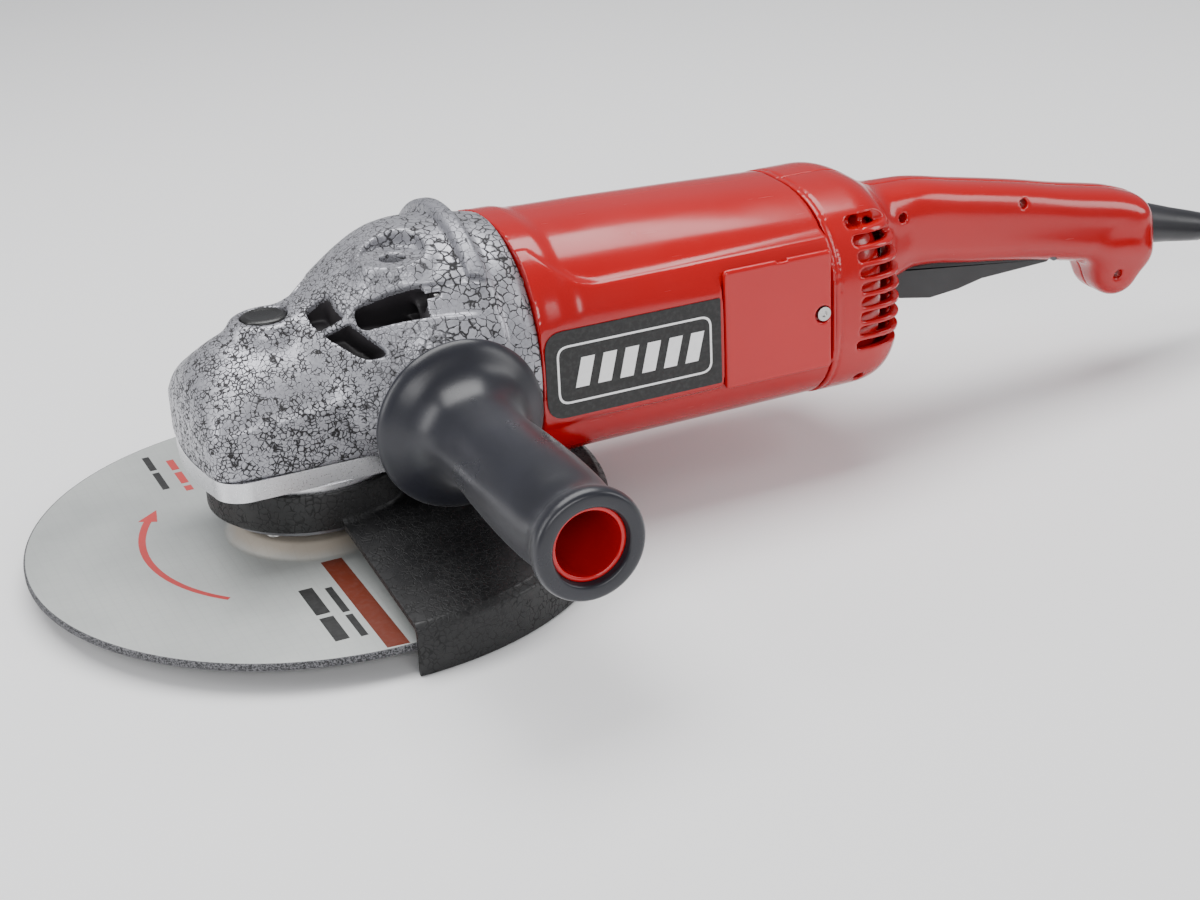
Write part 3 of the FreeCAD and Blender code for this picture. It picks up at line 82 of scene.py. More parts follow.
# ---------------------------------------------------------------- materials
class Graph:
    """A small builder for one material's nodes."""

    def __init__(self, name):
        self.material = bpy.data.materials.new(name)
        self.material.use_nodes = True
        self.nodes = self.material.node_tree.nodes
        self.links = self.material.node_tree.links
        self.shader = self.nodes["Principled BSDF"]
        self.place = self.add("ShaderNodeTexCoord").outputs["Object"]

    def add(self, kind, inputs=None, **settings):
        node = self.nodes.new(kind)
        for key, value in settings.items():
            setattr(node, key, value)
        for key, value in (inputs or {}).items():
            self.put(node.inputs[key], value)
        return node

    def put(self, socket, value):
        if isinstance(value, bpy.types.NodeSocket):
            self.links.new(value, socket)
        else:
            socket.default_value = value

    def math(self, operation, a, b=0.0, clamp=False):
        return self.add("ShaderNodeMath", {0: a, 1: b}, operation=operation, use_clamp=clamp).outputs[0]

    def noise(self, scale, detail=3.0, rough=0.55, where=None):
        inputs = {"Vector": where or self.place, "Scale": scale, "Detail": detail, "Roughness": rough}
        return self.add("ShaderNodeTexNoise", inputs).outputs["Fac"]

    def span(self, value, low, high, to_low=0.0, to_high=1.0):
        node = self.add("ShaderNodeMapRange", {"Value": value, "From Min": low, "From Max": high,
                                               "To Min": to_low, "To Max": to_high}, clamp=True)
        return node.outputs["Result"]

    def mix(self, share, a, b):
        node = self.add("ShaderNodeMix", data_type="RGBA")
        self.put(node.inputs["Factor"], share)
        self.put(node.inputs["A"], a)
        self.put(node.inputs["B"], b)
        return node.outputs["Result"]

    def bump(self, height, strength, distance, below=None):
        inputs = {"Height": height, "Strength": strength, "Distance": distance}
        if below is not None:
            inputs["Normal"] = below
        return self.add("ShaderNodeBump", inputs).outputs["Normal"]

    def finish(self, color, rough, metallic=0.0, normal=None, **extra):
        self.put(self.shader.inputs["Base Color"], color)
        self.put(self.shader.inputs["Roughness"], rough)
        self.put(self.shader.inputs["Metallic"], metallic)
        if normal is not None:
            self.put(self.shader.inputs["Normal"], normal)
        for key, value in extra.items():
            self.put(self.shader.inputs[key.replace("_", " ")], value)
        return self.material


def rgb(r, g, b):
    return (r, g, b, 1.0)


def shade(color, share):
    """The colour, darker or lighter by a share."""
    return tuple(c * share for c in color[:3]) + (1.0,)


def gloss_plastic(name, color, deep, rough=0.2):
    """Moulded gloss plastic: a faint tone drift, handling haze, fine moulding ripple and hairline scuffs."""
    g = Graph(name)
    tone = g.mix(g.span(g.noise(9.0, 2.0), 0.35, 0.7), color, deep)
    haze = g.span(g.noise(28.0, 5.0), 0.35, 0.75, rough * 0.8, rough * 1.45)
    stretch = g.add("ShaderNodeMapping", {"Vector": g.place, "Scale": (30.0, 900.0, 500.0),
                                          "Rotation": (0.3, 0.5, 0.2)}).outputs["Vector"]
    scuff = g.span(g.noise(1.4, 2.0, where=stretch), 0.70, 0.78, 0.0, 0.10)
    ripple = g.bump(g.noise(420.0, 2.0), 0.05, 0.0002)
    coat_normal = g.bump(g.noise(60.0, 1.0), 0.04, 0.001, ripple)
    return g.finish(tone, g.math("ADD", haze, scuff), normal=coat_normal,
                    Coat_Weight=0.2, Coat_Roughness=0.08, IOR=1.5)


def moulded_plastic(name, color, rough=0.42, grain=1800.0):
    """Satin black plastic with a fine spark-eroded grain."""
    g = Graph(name)
    tone = g.mix(g.span(g.noise(60.0, 4.0), 0.3, 0.8), color, shade(color, 1.7))
    normal = g.bump(g.noise(grain, 2.0), 0.25, 0.00012)
    return g.finish(tone, g.span(g.noise(90.0, 4.0), 0.3, 0.75, rough * 0.85, rough * 1.2), normal=normal)


def rubber(name, color, rough=0.36):
    """Smooth moulded rubber: soft sheen, bloom in patches, tiny pits and specks of dust."""
    g = Graph(name)
    bloom = g.span(g.noise(22.0, 5.0), 0.4, 0.75)
    light = tuple(min(c * 1.6, 1.0) for c in color[:3]) + (1.0,)
    dust = g.span(g.noise(900.0, 2.0), 0.77, 0.81)
    tone = g.mix(g.math("MULTIPLY", dust, 0.25), g.mix(bloom, color, light), rgb(0.32, 0.32, 0.34))
    pits = g.bump(g.noise(1400.0, 3.0), 0.12, 0.0001)
    waves = g.bump(g.noise(45.0, 2.0), 0.08, 0.001, pits)
    return g.finish(tone, g.span(g.noise(35.0, 5.0), 0.3, 0.7, rough * 0.85, rough * 1.25), normal=waves,
                    Sheen_Weight=0.08, Sheen_Roughness=0.4)


def crackle(name, base, dark, cell_front, cell_rear, line, rough, metallic, depth):
    """A crackle coat: irregular cells parted by dark lines, which widen, thin and break off."""
    g = Graph(name)
    warp = g.add("ShaderNodeTexNoise", {"Vector": g.place, "Scale": 0.55 / cell_front, "Detail": 3.0})
    middle = (0.5, 0.5, 0.5)
    shift = g.add("ShaderNodeVectorMath", {0: warp.outputs["Color"], 1: middle}, operation="SUBTRACT")
    moved = g.add("ShaderNodeVectorMath", {0: shift.outputs[0], "Scale": cell_front * 1.5}, operation="SCALE")
    where = g.add("ShaderNodeVectorMath", {0: g.place, 1: moved.outputs[0]}, operation="ADD").outputs[0]

    def cracks(cell, width):
        cells = g.add("ShaderNodeTexVoronoi", {"Vector": where, "Scale": 1.0 / cell, "Randomness": 1.0},
                      feature="DISTANCE_TO_EDGE").outputs["Distance"]
        uneven = g.span(g.noise(0.45 / cell, 3.0), 0.36, 0.60, 0.0, width)
        share = g.math("DIVIDE", cells, g.math("ADD", uneven, 0.002))
        return g.span(share, 0.35, 1.15, 1.0, 0.0)

    along = g.add("ShaderNodeSeparateXYZ", {"Vector": g.place}).outputs["X"]
    fine, coarse = cracks(cell_front, line), cracks(cell_rear, line * 0.8)
    drift = g.span(g.math("ADD", along, g.math("MULTIPLY", g.noise(30.0), 0.05)), 0.035, 0.075)
    mixed = g.add("ShaderNodeMix", data_type="FLOAT")
    for key, value in (("Factor", drift), ("A", fine), ("B", coarse)):
        g.put(mixed.inputs[key], value)
    crack = mixed.outputs["Result"]
    speckle = g.span(g.noise(900.0, 3.0), 0.35, 0.75)
    body = g.mix(speckle, base, shade(base, 0.72))
    cloudy = g.mix(g.span(g.noise(26.0, 3.0), 0.4, 0.75, 0.0, 0.45), body, shade(base, 0.6))
    color = g.mix(crack, cloudy, dark)
    grain = g.bump(g.noise(1100.0, 3.0), 0.22, 0.0002)
    normal = g.bump(g.math("SUBTRACT", 1.0, crack), 0.6, depth, grain)
    dull = g.span(crack, 0.0, 1.0, rough, 0.75)
    shine = g.math("MULTIPLY", g.math("SUBTRACT", 1.0, crack), metallic)
    patchy = g.span(g.noise(240.0), 0.3, 0.7, -0.05, 0.08)
    return g.finish(color, g.math("ADD", dull, patchy), shine, normal)


def metal(name, color, rough, brushed=(1.0, 1.0, 1.0), wear=0.25):
    """Machined or plated metal: fine directional tool marks and patchy oxidation."""
    g = Graph(name)
    where = g.add("ShaderNodeMapping", {"Vector": g.place, "Scale": brushed}).outputs["Vector"]
    marks = g.noise(1500.0, 2.0, where=where)
    stain = g.span(g.noise(85.0, 5.0), 0.45, 0.75, 0.0, wear)
    tone = g.mix(stain, color, shade(color, 0.45))
    dull = g.math("ADD", g.span(marks, 0.3, 0.7, rough * 0.8, rough * 1.3), g.math("MULTIPLY", stain, 0.3))
    return g.finish(tone, dull, 1.0, g.bump(marks, 0.15, 0.00008))


def stripes(g, along, pitch):
    """A wave that repeats at each pitch, in metres."""
    return g.math("SINE", g.math("MULTIPLY", along, 2 * math.pi / pitch))


def disc_face(name):
    """Paper-faced abrasive: pale and satin, with a woven glass mesh under it and grit at the rim."""
    g = Graph(name)
    parts = g.add("ShaderNodeSeparateXYZ", {"Vector": g.place})
    x, y, z = (parts.outputs[a] for a in "XYZ")
    radius = g.math("SQRT", g.math("ADD", g.math("MULTIPLY", x, x), g.math("MULTIPLY", y, y)))
    threads = [g.span(stripes(g, socket, 0.0045), 0.80, 1.0) for socket in (x, y)]
    weave = g.math("MAXIMUM", *threads)
    paper = g.mix(g.span(g.noise(16.0, 4.0), 0.35, 0.7), rgb(0.56, 0.58, 0.56), rgb(0.44, 0.46, 0.45))
    faint = g.mix(g.math("MULTIPLY", weave, 0.10), paper, rgb(0.35, 0.36, 0.36))
    grit = g.mix(g.span(g.noise(1600.0, 2.0), 0.42, 0.62), rgb(0.018, 0.018, 0.02), rgb(0.16, 0.16, 0.17))
    uneven = g.math("ADD", radius, g.math("MULTIPLY", g.noise(120.0), 0.004))
    hub = g.span(uneven, 0.0335, 0.0385, 1.0, 0.0)
    warm = g.mix(g.math("MULTIPLY", hub, 0.55), faint, rgb(0.52, 0.40, 0.28))
    edge = g.span(radius, 0.11385, 0.11415)
    lower = g.span(z, 0.0070, 0.0072, 1.0, 0.0)
    raw = g.math("MAXIMUM", edge, g.math("MULTIPLY", lower, g.span(radius, 0.036, 0.0362)))
    color = g.mix(raw, warm, grit)
    coarse = g.bump(g.noise(1500.0, 2.0), g.span(raw, 0, 1, 0.04, 0.9), 0.0004)
    normal = g.bump(weave, 0.06, 0.0002, coarse)
    return g.finish(color, g.span(raw, 0.0, 1.0, 0.38, 0.85), g.span(raw, 0.0, 1.0, 0.35, 0.0), normal)


def ink(name, color, rough=0.45):
    """A printed mark, slightly worn and mottled."""
    g = Graph(name)
    faded = tuple(c * 0.7 + 0.06 for c in color[:3]) + (1.0,)
    worn = g.mix(g.span(g.noise(500.0, 4.0), 0.45, 0.8, 0.0, 0.35), color, faded)
    return g.finish(worn, g.span(g.noise(200.0), 0.3, 0.7, rough * 0.9, rough * 1.2),
                    normal=g.bump(g.noise(900.0), 0.05, 0.0001))


def laminations(name):
    """Stacked steel sheets, seen edge on along the motor axis."""
    g = Graph(name)
    along = g.add("ShaderNodeSeparateXYZ", {"Vector": g.place}).outputs["X"]
    sheets = stripes(g, along, 0.001)
    tone = g.mix(g.span(sheets, -1, 1), rgb(0.2, 0.19, 0.18), rgb(0.42, 0.41, 0.4))
    return g.finish(tone, g.span(g.noise(300.0), 0.3, 0.7, 0.35, 0.55), 1.0, g.bump(sheets, 0.5, 0.0002))


def windings(name):
    """Enamelled copper wire laid side by side."""
    g = Graph(name)
    parts = g.add("ShaderNodeSeparateXYZ", {"Vector": g.place})
    lay = g.math("ADD", parts.outputs["Z"], g.math("MULTIPLY", parts.outputs["Y"], 0.7))
    wires = stripes(g, lay, 0.0011)
    tone = g.mix(g.span(wires, -1, 1), rgb(0.16, 0.035, 0.012), rgb(0.62, 0.24, 0.08))
    return g.finish(tone, 0.3, 0.85, g.bump(wires, 0.7, 0.0004), Coat_Weight=0.4)


M = {
    "red": gloss_plastic("red_plastic", rgb(0.42, 0.0006, 0.0022), rgb(0.37, 0.0005, 0.002)),
    "red_cover": gloss_plastic("red_cover_plastic", rgb(0.48, 0.0014, 0.004), rgb(0.42, 0.0012, 0.0035),
                               0.17),
    "cast": crackle("silver_crackle", rgb(0.42, 0.42, 0.455), rgb(0.012, 0.011, 0.012),
                    0.0018, 0.0034, 0.17, 0.34, 0.55, 0.0003),
    # painted shade: a near-black material for the casting's faces deep in its slots and rooms
    "cast_painted_shade": moulded_plastic("painted_shade_casting", rgb(0.018, 0.016, 0.018), 0.55, 700.0),
    "cast_bar": crackle("silver_crackle_smooth", rgb(0.30, 0.30, 0.33), rgb(0.04, 0.04, 0.045),
                        0.0020, 0.0030, 0.07, 0.34, 0.4, 0.0002),
    "guard": crackle("black_crackle", rgb(0.006, 0.006, 0.0065), rgb(0.002, 0.002, 0.002),
                     0.0026, 0.0030, 0.12, 0.42, 0.0, 0.0002),
    "plate": metal("cast_plate", rgb(0.72, 0.72, 0.74), 0.30, wear=0.12),
    "steel": metal("plated_steel", rgb(0.56, 0.55, 0.54), 0.28),
    "dark_steel": metal("dark_steel", rgb(0.16, 0.16, 0.17), 0.36),
    "ground": metal("ground_steel", rgb(0.62, 0.62, 0.64), 0.18),
    "brass": metal("drawn_brass", rgb(0.72, 0.5, 0.2), 0.28),
    "nickel": metal("nickel_plate", rgb(0.7, 0.68, 0.62), 0.2),
    "wire": windings("copper_windings"),
    "sheets": laminations("laminated_steel"),
    "black": moulded_plastic("black_plastic", rgb(0.014, 0.014, 0.015)),
    "button": moulded_plastic("button_plastic", rgb(0.010, 0.010, 0.010), 0.3),
    "nylon": moulded_plastic("fan_nylon", rgb(0.05, 0.05, 0.052), 0.5),
    "carbon": moulded_plastic("carbon_block", rgb(0.02, 0.02, 0.02), 0.6, 900.0),
    "grip": rubber("grip_rubber", rgb(0.010, 0.0105, 0.015), 0.30),
    "cord": rubber("cord_rubber", rgb(0.010, 0.010, 0.013), 0.34),
    "disc": disc_face("abrasive_disc"),
    "arrow_ink": ink("arrow_ink", rgb(0.46, 0.045, 0.045)),
    "band_ink": ink("band_ink", rgb(0.14, 0.022, 0.008)),
    "black_ink": ink("black_ink", rgb(0.02, 0.02, 0.02)),
    "label": ink("label_black", rgb(0.003, 0.003, 0.003), 0.4),
    "white_ink": ink("white_ink", rgb(0.85, 0.85, 0.85), 0.35),
}


# ---------------------------------------------------------------- meshes
def add_piece(name, mesh, material, body, replaced=(), smooth=True):
    piece = bpy.data.objects.new(name, mesh)
    bpy.context.scene.collection.objects.link(piece)
    if not mesh.materials:
        mesh.materials.append(material)
    if smooth:
        mesh.shade_smooth()
    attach(piece, body)
    if replaced:
        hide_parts(*replaced)
    return piece


def sharpen(mesh, degrees=35.0):
    mesh.shade_smooth()
    mesh.set_sharp_from_angle(angle=math.radians(degrees))


def curve_of(points, value):
    """A smooth curve through (place, size) points that doesn't overshoot, read at value."""
    xs = np.array([p[0] for p in points], float)
    ys = np.array([p[1] for p in points], float)
    slopes = np.diff(ys) / np.diff(xs)
    tangents = np.zeros_like(ys)
    both = slopes[:-1] * slopes[1:] > 0
    tangents[1:-1][both] = 2 * slopes[:-1][both] * slopes[1:][both] / (slopes[:-1] + slopes[1:])[both]
    tangents[0], tangents[-1] = slopes[0], slopes[-1]
    value = np.clip(value, xs[0], xs[-1])
    k = np.clip(np.searchsorted(xs, value) - 1, 0, len(xs) - 2)
    width = xs[k + 1] - xs[k]
    t = (value - xs[k]) / width
    return ((1 + 2 * t) * (1 - t) ** 2 * ys[k] + t * (1 - t) ** 2 * width * tangents[k]
            + t * t * (3 - 2 * t) * ys[k + 1] + t * t * (t - 1) * width * tangents[k + 1])


# A solid is a function of the grid's X, Y and Z that gives the distance to its surface, negative inside.
def both(a, b, k=0.0):
    """What lies in both solids, with an edge rounded by about k."""
    return -either(-a, -b, k)


def either(a, b, k=0.0):
    """Two solids joined, with a fillet of about k."""
    if k == 0.0:
        return np.minimum(a, b)
    h = np.clip(0.5 + 0.5 * (b - a) / k, 0, 1)
    return b + (a - b) * h - k * h * (1 - h)


def less(a, b, k=0.0):
    """Solid a with b cut away, and the cut's edge rounded by about k."""
    return both(a, -b, k)


def slab(value, low, high):
    return np.maximum(low - value, value - high)


def brick(p, low, high, r=0.0):
    """A box with edges of radius r."""
    q = [np.abs(v - (a + b) / 2) - (b - a) / 2 + r for v, a, b in zip(p, low, high)]
    outside = np.sqrt(sum(np.maximum(v, 0) ** 2 for v in q))
    return outside + np.minimum(np.maximum(np.maximum(q[0], q[1]), q[2]), 0) - r


def rod(p, axis, a, b, low, high, radius, k=0.0):
    """A cylinder along an axis, through a and b in the other two, with rounded ends."""
    along = "xyz".index(axis)
    u, v = [p[i] for i in range(3) if i != along]
    return both(np.sqrt((u - a) ** 2 + (v - b) ** 2) - radius, slab(p[along], low, high), k)


def super_tube(y, z, half_y, mid_z, half_z, power):
    """A rounded-square section, with distances true near its surface."""
    u, v = np.abs(y) / half_y, np.abs(z - mid_z) / half_z
    f = (u ** power + v ** power) ** (1.0 / power) + 1e-6
    steep = np.sqrt((u ** (power - 1) / half_y) ** 2 + (v ** (power - 1) / half_z) ** 2)
    return (f - 1) / (steep / f ** (power - 1) + 1e-6)


def solid_mesh(name, low, high, step, solid):
    """The surface of a solid on a grid, as one mesh in metres."""
    axes = [np.arange(a - 2 * step, b + 3 * step, step, dtype=np.float32) for a, b in zip(low, high)]
    p = [axes[0][:, None, None], axes[1][None, :, None], axes[2][None, None, :]]
    d = np.clip(np.broadcast_to(solid(p), [len(a) for a in axes]) / step, -3, 3).astype(np.float32)
    grid = openvdb.FloatGrid(3.0)
    grid.copyFromArray(np.ascontiguousarray(d))
    points, triangles, quads = grid.convertToPolygons(0.0, 0.0)
    points = (points * step + np.array([a[0] for a in axes])) * MM
    faces = [tuple(f) for group in (quads, triangles) for f in group[:, ::-1].tolist()]
    mesh = bpy.data.meshes.new(name)
    mesh.from_pydata(points.tolist(), [], faces)
    mesh.update()
    tidy = bmesh.new()
    tidy.from_mesh(mesh)
    if tidy.calc_volume(signed=True) < 0:
        bmesh.ops.reverse_faces(tidy, faces=tidy.faces)
    tidy.to_mesh(mesh)
    tidy.free()
    return mesh


def turned_mesh(name, outline, turns=96, closed=True):
    """A (radius, height) outline in millimetres, turned about Z."""
    mesh = bpy.data.meshes.new(name)
    points, faces = [], []
    count = len(outline)
    for number in range(turns):
        angle = 2 * math.pi * number / turns
        points += [(r * math.cos(angle) * MM, r * math.sin(angle) * MM, h * MM) for r, h in outline]
    for number in range(turns):
        here, there = number * count, (number + 1) % turns * count
        for k in range(count if closed else count - 1):
            n = (k + 1) % count
            faces.append((here + k, there + k, there + n, here + n))
    mesh.from_pydata(points, [], faces)
    tidy = bmesh.new()
    tidy.from_mesh(mesh)
    bmesh.ops.remove_doubles(tidy, verts=tidy.verts, dist=1e-6)
    bmesh.ops.dissolve_degenerate(tidy, edges=tidy.edges, dist=1e-7)
    bmesh.ops.recalc_face_normals(tidy, faces=tidy.faces)
    tidy.to_mesh(mesh)
    tidy.free()
    return mesh


def rounded(outline, radius, parts=4):
    """A closed outline with its corners rounded, each by at most its own edges' room."""
    points = [np.array(p[:2], float) for p in outline]
    radii = [p[2] if len(p) > 2 else radius for p in outline]
    result = []
    for k, corner in enumerate(points):
        a, b = points[k - 1] - corner, points[(k + 1) % len(points)] - corner
        la, lb = np.linalg.norm(a), np.linalg.norm(b)
        a, b = a / la, b / lb
        half = math.acos(np.clip(np.dot(a, b), -1, 1)) / 2
        reach = min(radii[k] / max(math.tan(half), 1e-3), 0.45 * la, 0.45 * lb)
        if reach < 1e-4:
            result.append(tuple(corner))
            continue
        for step in range(parts + 1):
            t = step / parts
            q = (1 - t) ** 2 * (corner + a * reach) + 2 * t * (1 - t) * corner + t * t * (corner + b * reach)
            result.append(tuple(q))
    return result


# ---------------------------------------------------------------- gear housing
NOSE_HALF = [(-48, 33), (-40, 35.5), (-28, 37), (-10, 38), (20, 38), (45, 40)]
NOSE_WALL = [(-48, 64), (-36, 66.5), (-20, 68), (0, 70), (25, 75), (45, 80)]
NOSE_SPINE = [(-48, 72.5), (-44, 81), (-35, 89), (-27, 93.5), (-15, 97), (-2, 98.5), (10, 106), (20, 112),
              (45, 118)]
NOSE_FOOT = 48.05       # the nose's underside
NOSE_REAR = 40.3        # where that underside ends
DOME = [(-6, 22), (0, 29), (4.5, 32.5), (13.5, 39.8), (21, 44.8), (28, 49.0), (35, 52.4), (42, 54.5),
        (50, 55.3), (62, 55.2), (72, 53.6), (SEAM_FRONT, 51.2)]
BAR_X = 63.0
BUTTON = (-11.0, 0.0)
TOP_HOLE = (37.4, -16.5)
SIDE_BOSS = (43.4, 64.2)
SCREW_CIRCLE = 48.0
SCREW_ANGLES = (45, 135, 225, 315)


def round_motor(p):
    """Radius and angle about the motor axis, the angle in degrees from the top towards -Y."""
    y, z = p[1], p[2] - AXIS_Z
    return np.sqrt(y * y + z * z), np.degrees(np.arctan2(-y, z))


def screw_places(radius):
    angles = [math.radians(a) for a in SCREW_ANGLES]
    return [(-radius * math.sin(a), AXIS_Z + radius * math.cos(a)) for a in angles]


def arc_width(p, middle, half):
    """Distance round the motor axis from the stretch within half degrees of the middle one."""
    r, angle = round_motor(p)
    return (np.abs(angle - middle) - half) * np.pi / 180 * r


def nose(p):
    """The front of the casting: a pointed roof over straight flanks."""
    x, y, z = p
    half = curve_of(NOSE_HALF, x)
    wall = curve_of(NOSE_WALL, x)
    rise = curve_of(NOSE_SPINE, x) - wall
    u, v = np.abs(y) / half, np.maximum(z - wall, 0) / rise
    power = 1.4
    f = (u ** power + v ** power) ** (1 / power) + 1e-6
    steep = np.sqrt((u ** (power - 1) / half) ** 2 + (v ** (power - 1) / rise) ** 2)
    roof = np.where(z > wall, (f - 1) / (steep / f ** (power - 1) + 1e-6), np.abs(y) - half)
    bow = -48.0 + 0.0030 * y * y
    shape = both(both(roof, bow - x, 7.5), NOSE_FOOT - z)
    return both(shape, x - 60)


def barrel(p):
    """The round part behind the nose, flattened underneath."""
    x, z = p[0], p[2]
    dome = both(both(round_motor(p)[0] - curve_of(DOME, x), x - SEAM_FRONT), -8.0 - x)
    return both(dome, 24.9 - z, 4.0)


def cut_air_slots(body, p):
    """On each side, a curved slot that ends in a ramp, and a ribbed crescent at the dome's foot."""
    for side in (1, -1):
        q = [p[0], p[1] * side, p[2]]
        x = p[0]
        r, angle = round_motor(q)
        middle = 43.5 + 7.0 * np.clip((x - 18.0) / 46.0, 0, 1)
        across = arc_width(q, middle, 7.2)
        deep = both(both(across, slab(x, 17.0, 41.0), 4.0), slab(r, 27.0, 64.0))
        floor_r = 46.0 + 6.4 * np.clip((x - 39.5) / 3.0, 0, 1) + 3.0 * np.clip((x - 46.0) / 18.0, 0, 1)
        ramp = both(both(across, slab(x, 36.0, 65.5), 5.0), floor_r - r, 1.5)
        duct = both(both(across, slab(x, 30.0, 60.0), 2.0), slab(r, 33.0, 42.0))
        body = less(less(body, deep, 1.0), ramp, 1.0)
        body = np.maximum(body, -duct)
        foot = 7.5 + 0.0075 * np.maximum(angle - 24.0, 0) ** 2
        crescent = both(both(arc_width(q, 41.0, 25.0), np.abs(x - foot) - 4.6, 3.5), 25.0 - r)
        body = less(body, less(crescent, arc_width(q, 41.0, 2.2), 0.6), 0.9)
    return body


def cut_rooms(body, p):
    """The rooms inside for the gears, bearings, baffle and screws, and the threaded handle holes."""
    rooms = [
        rod(p, "z", 0, 0, 40, 67, 34.5), rod(p, "x", 0, AXIS_Z, 8, 40, 11.0),
        rod(p, "x", 0, AXIS_Z, 39, 45, 8.5), rod(p, "x", 0, AXIS_Z, 45, 55, 15.0),
        rod(p, "x", 0, AXIS_Z, 54, 58, 12.0), rod(p, "x", 0, AXIS_Z, 57, 90, 43.8),
        rod(p, "z", 0, 0, 66, 86.5, 9.5), rod(p, "z", -16, 0, 60, 100, 3.2),
        rod(p, "y", *SIDE_BOSS, -70, -40, 7.2), rod(p, "y", *SIDE_BOSS, 40, 70, 7.2),
        rod(p, "z", *TOP_HOLE, 104, 140, 5.2),
    ]
    for room in rooms:
        body = np.maximum(body, -room)
    body = less(body, rod(p, "z", *BUTTON, 87.2, 130, 9.4), 0.8)
    for a, b in screw_places(SCREW_CIRCLE):
        body = np.maximum(body, -rod(p, "x", a, b, 50, 90, 2.1))
        body = np.maximum(body, -rod(p, "x", a, b, 40 if b > AXIS_Z else -20, 50, 4.2))
    return body


def gear_housing(p):
    x, z = p[0], p[2]
    r, _ = round_motor(p)
    dome = less(barrel(p), rod(p, "z", 0, 0, 10, 40, 42.0), 1.0)
    dome = np.maximum(dome, np.minimum(NOSE_REAR - x, NOSE_FOOT - z))
    body = either(nose(p), dome, 6.0)
    # raised rim round the lock button's pocket, on a low turret
    body = either(body, rod(p, "z", *BUTTON, 80, 97.4, 13.0, 3.0), 7.0)
    # bar across the top, in front of the seam, and a shallow step behind it
    bar = both(both(np.abs(x - BAR_X) - 3.7, np.abs(r - 53.5) - 6.6, 2.8), arc_width(p, 0, 46.0), 3.4)
    body = either(body, bar, 1.2)
    body = less(body, both(slab(x, 69.5, 79.0), 53.2 - r, 1.5), 1.5)
    # side handle bosses, both sides
    body = either(body, rod(p, "y", *SIDE_BOSS, -56, 56, 17.0, 1.5), 7.0)
    # spot-faced pad on top
    body = either(body, rod(p, "z", *TOP_HOLE, 100, 119.0, 15.0, 4.0), 5.0)
    body = less(body, rod(p, "z", *TOP_HOLE, 117.6, 140, 12.5, 1.5), 1.0)
    return np.maximum(cut_rooms(cut_air_slots(body, p), p), x - (SEAM_FRONT - 0.1))


def finish_faces(mesh):
    """Painted shade: the faces deep inside the slots and rooms get a dark material, and the bar across the top
    a smoother coat.
    """
    count = len(mesh.polygons)
    centres = np.empty(count * 3, dtype=np.float32)
    mesh.polygons.foreach_get("center", centres)
    p = list(centres.reshape(-1, 3).T.astype(float) / MM)
    # painted shade: faces more than 3 mm inside the outer form get the dark material
    inside = np.minimum(nose(p), barrel(p)) < -3.0
    spot_face = (np.hypot(p[0] - TOP_HOLE[0], p[1] - TOP_HOLE[1]) > 5.0) & (p[2] > 112.0)
    inside &= ~spot_face
    on_bar = (round_motor(p)[0] > 56.4) & (np.abs(p[0] - BAR_X) < 4.5)
    kind = np.where(inside, 1, np.where(on_bar, 2, 0)).astype(np.int32)
    for key in ("cast", "cast_painted_shade", "cast_bar"):
        mesh.materials.append(M[key])
    mesh.polygons.foreach_set("material_index", kind)
    return mesh


casting = solid_mesh("gear_housing_casting", (-50, -57, 23), (84, 57, 131), GRID, gear_housing)
add_piece("gear_housing_casting", finish_faces(casting), M["cast"], "root", ["gear_housing"])


# ---------------------------------------------------------------- motor housing
HALF_WIDTH = [(SEAM_FRONT, 50.6), (92, 50.5), (100, 49.6), (130, 49.3), (SEAM_REAR, 48.8)]
TOP = [(SEAM_FRONT, 120.4), (92, 120.2), (100, 118.6), (130, 117.6), (SEAM_REAR, 114.0)]
BOTTOM = [(SEAM_FRONT, 20.9), (92, 20.9), (110, 21.6), (SEAM_REAR, 22.5)]
PAD_EDGE = [(SEAM_FRONT, 118), (90, 112), (97, 106.5), (104, 103), (112, 101.7), (SEAM_REAR, 101.2)]
PAD_FACE = 49.9         # half the width across the flat flanks


def housing_section(p, shrink=0.0):
    x, y, z = p
    half, top, bottom = curve_of(HALF_WIDTH, x), curve_of(TOP, x), curve_of(BOTTOM, x)
    return super_tube(y, z, half - shrink, (top + bottom) / 2, (top - bottom) / 2 - shrink, 2.5)


def side_pad(p):
    """The flat flank, with its upper edge rising to the front collar."""
    x, y, z = p
    face = np.abs(y) - PAD_FACE
    edge = z - curve_of(PAD_EDGE, x)
    flank = both(both(both(face, edge * 0.8, 4.0), 47.5 - z, 5.0), 30 - np.abs(y))
    return both(flank, housing_section(p, -0.2 - 2.4 * np.clip((x - 86.0) / 16.0, 0, 1)), 1.0)


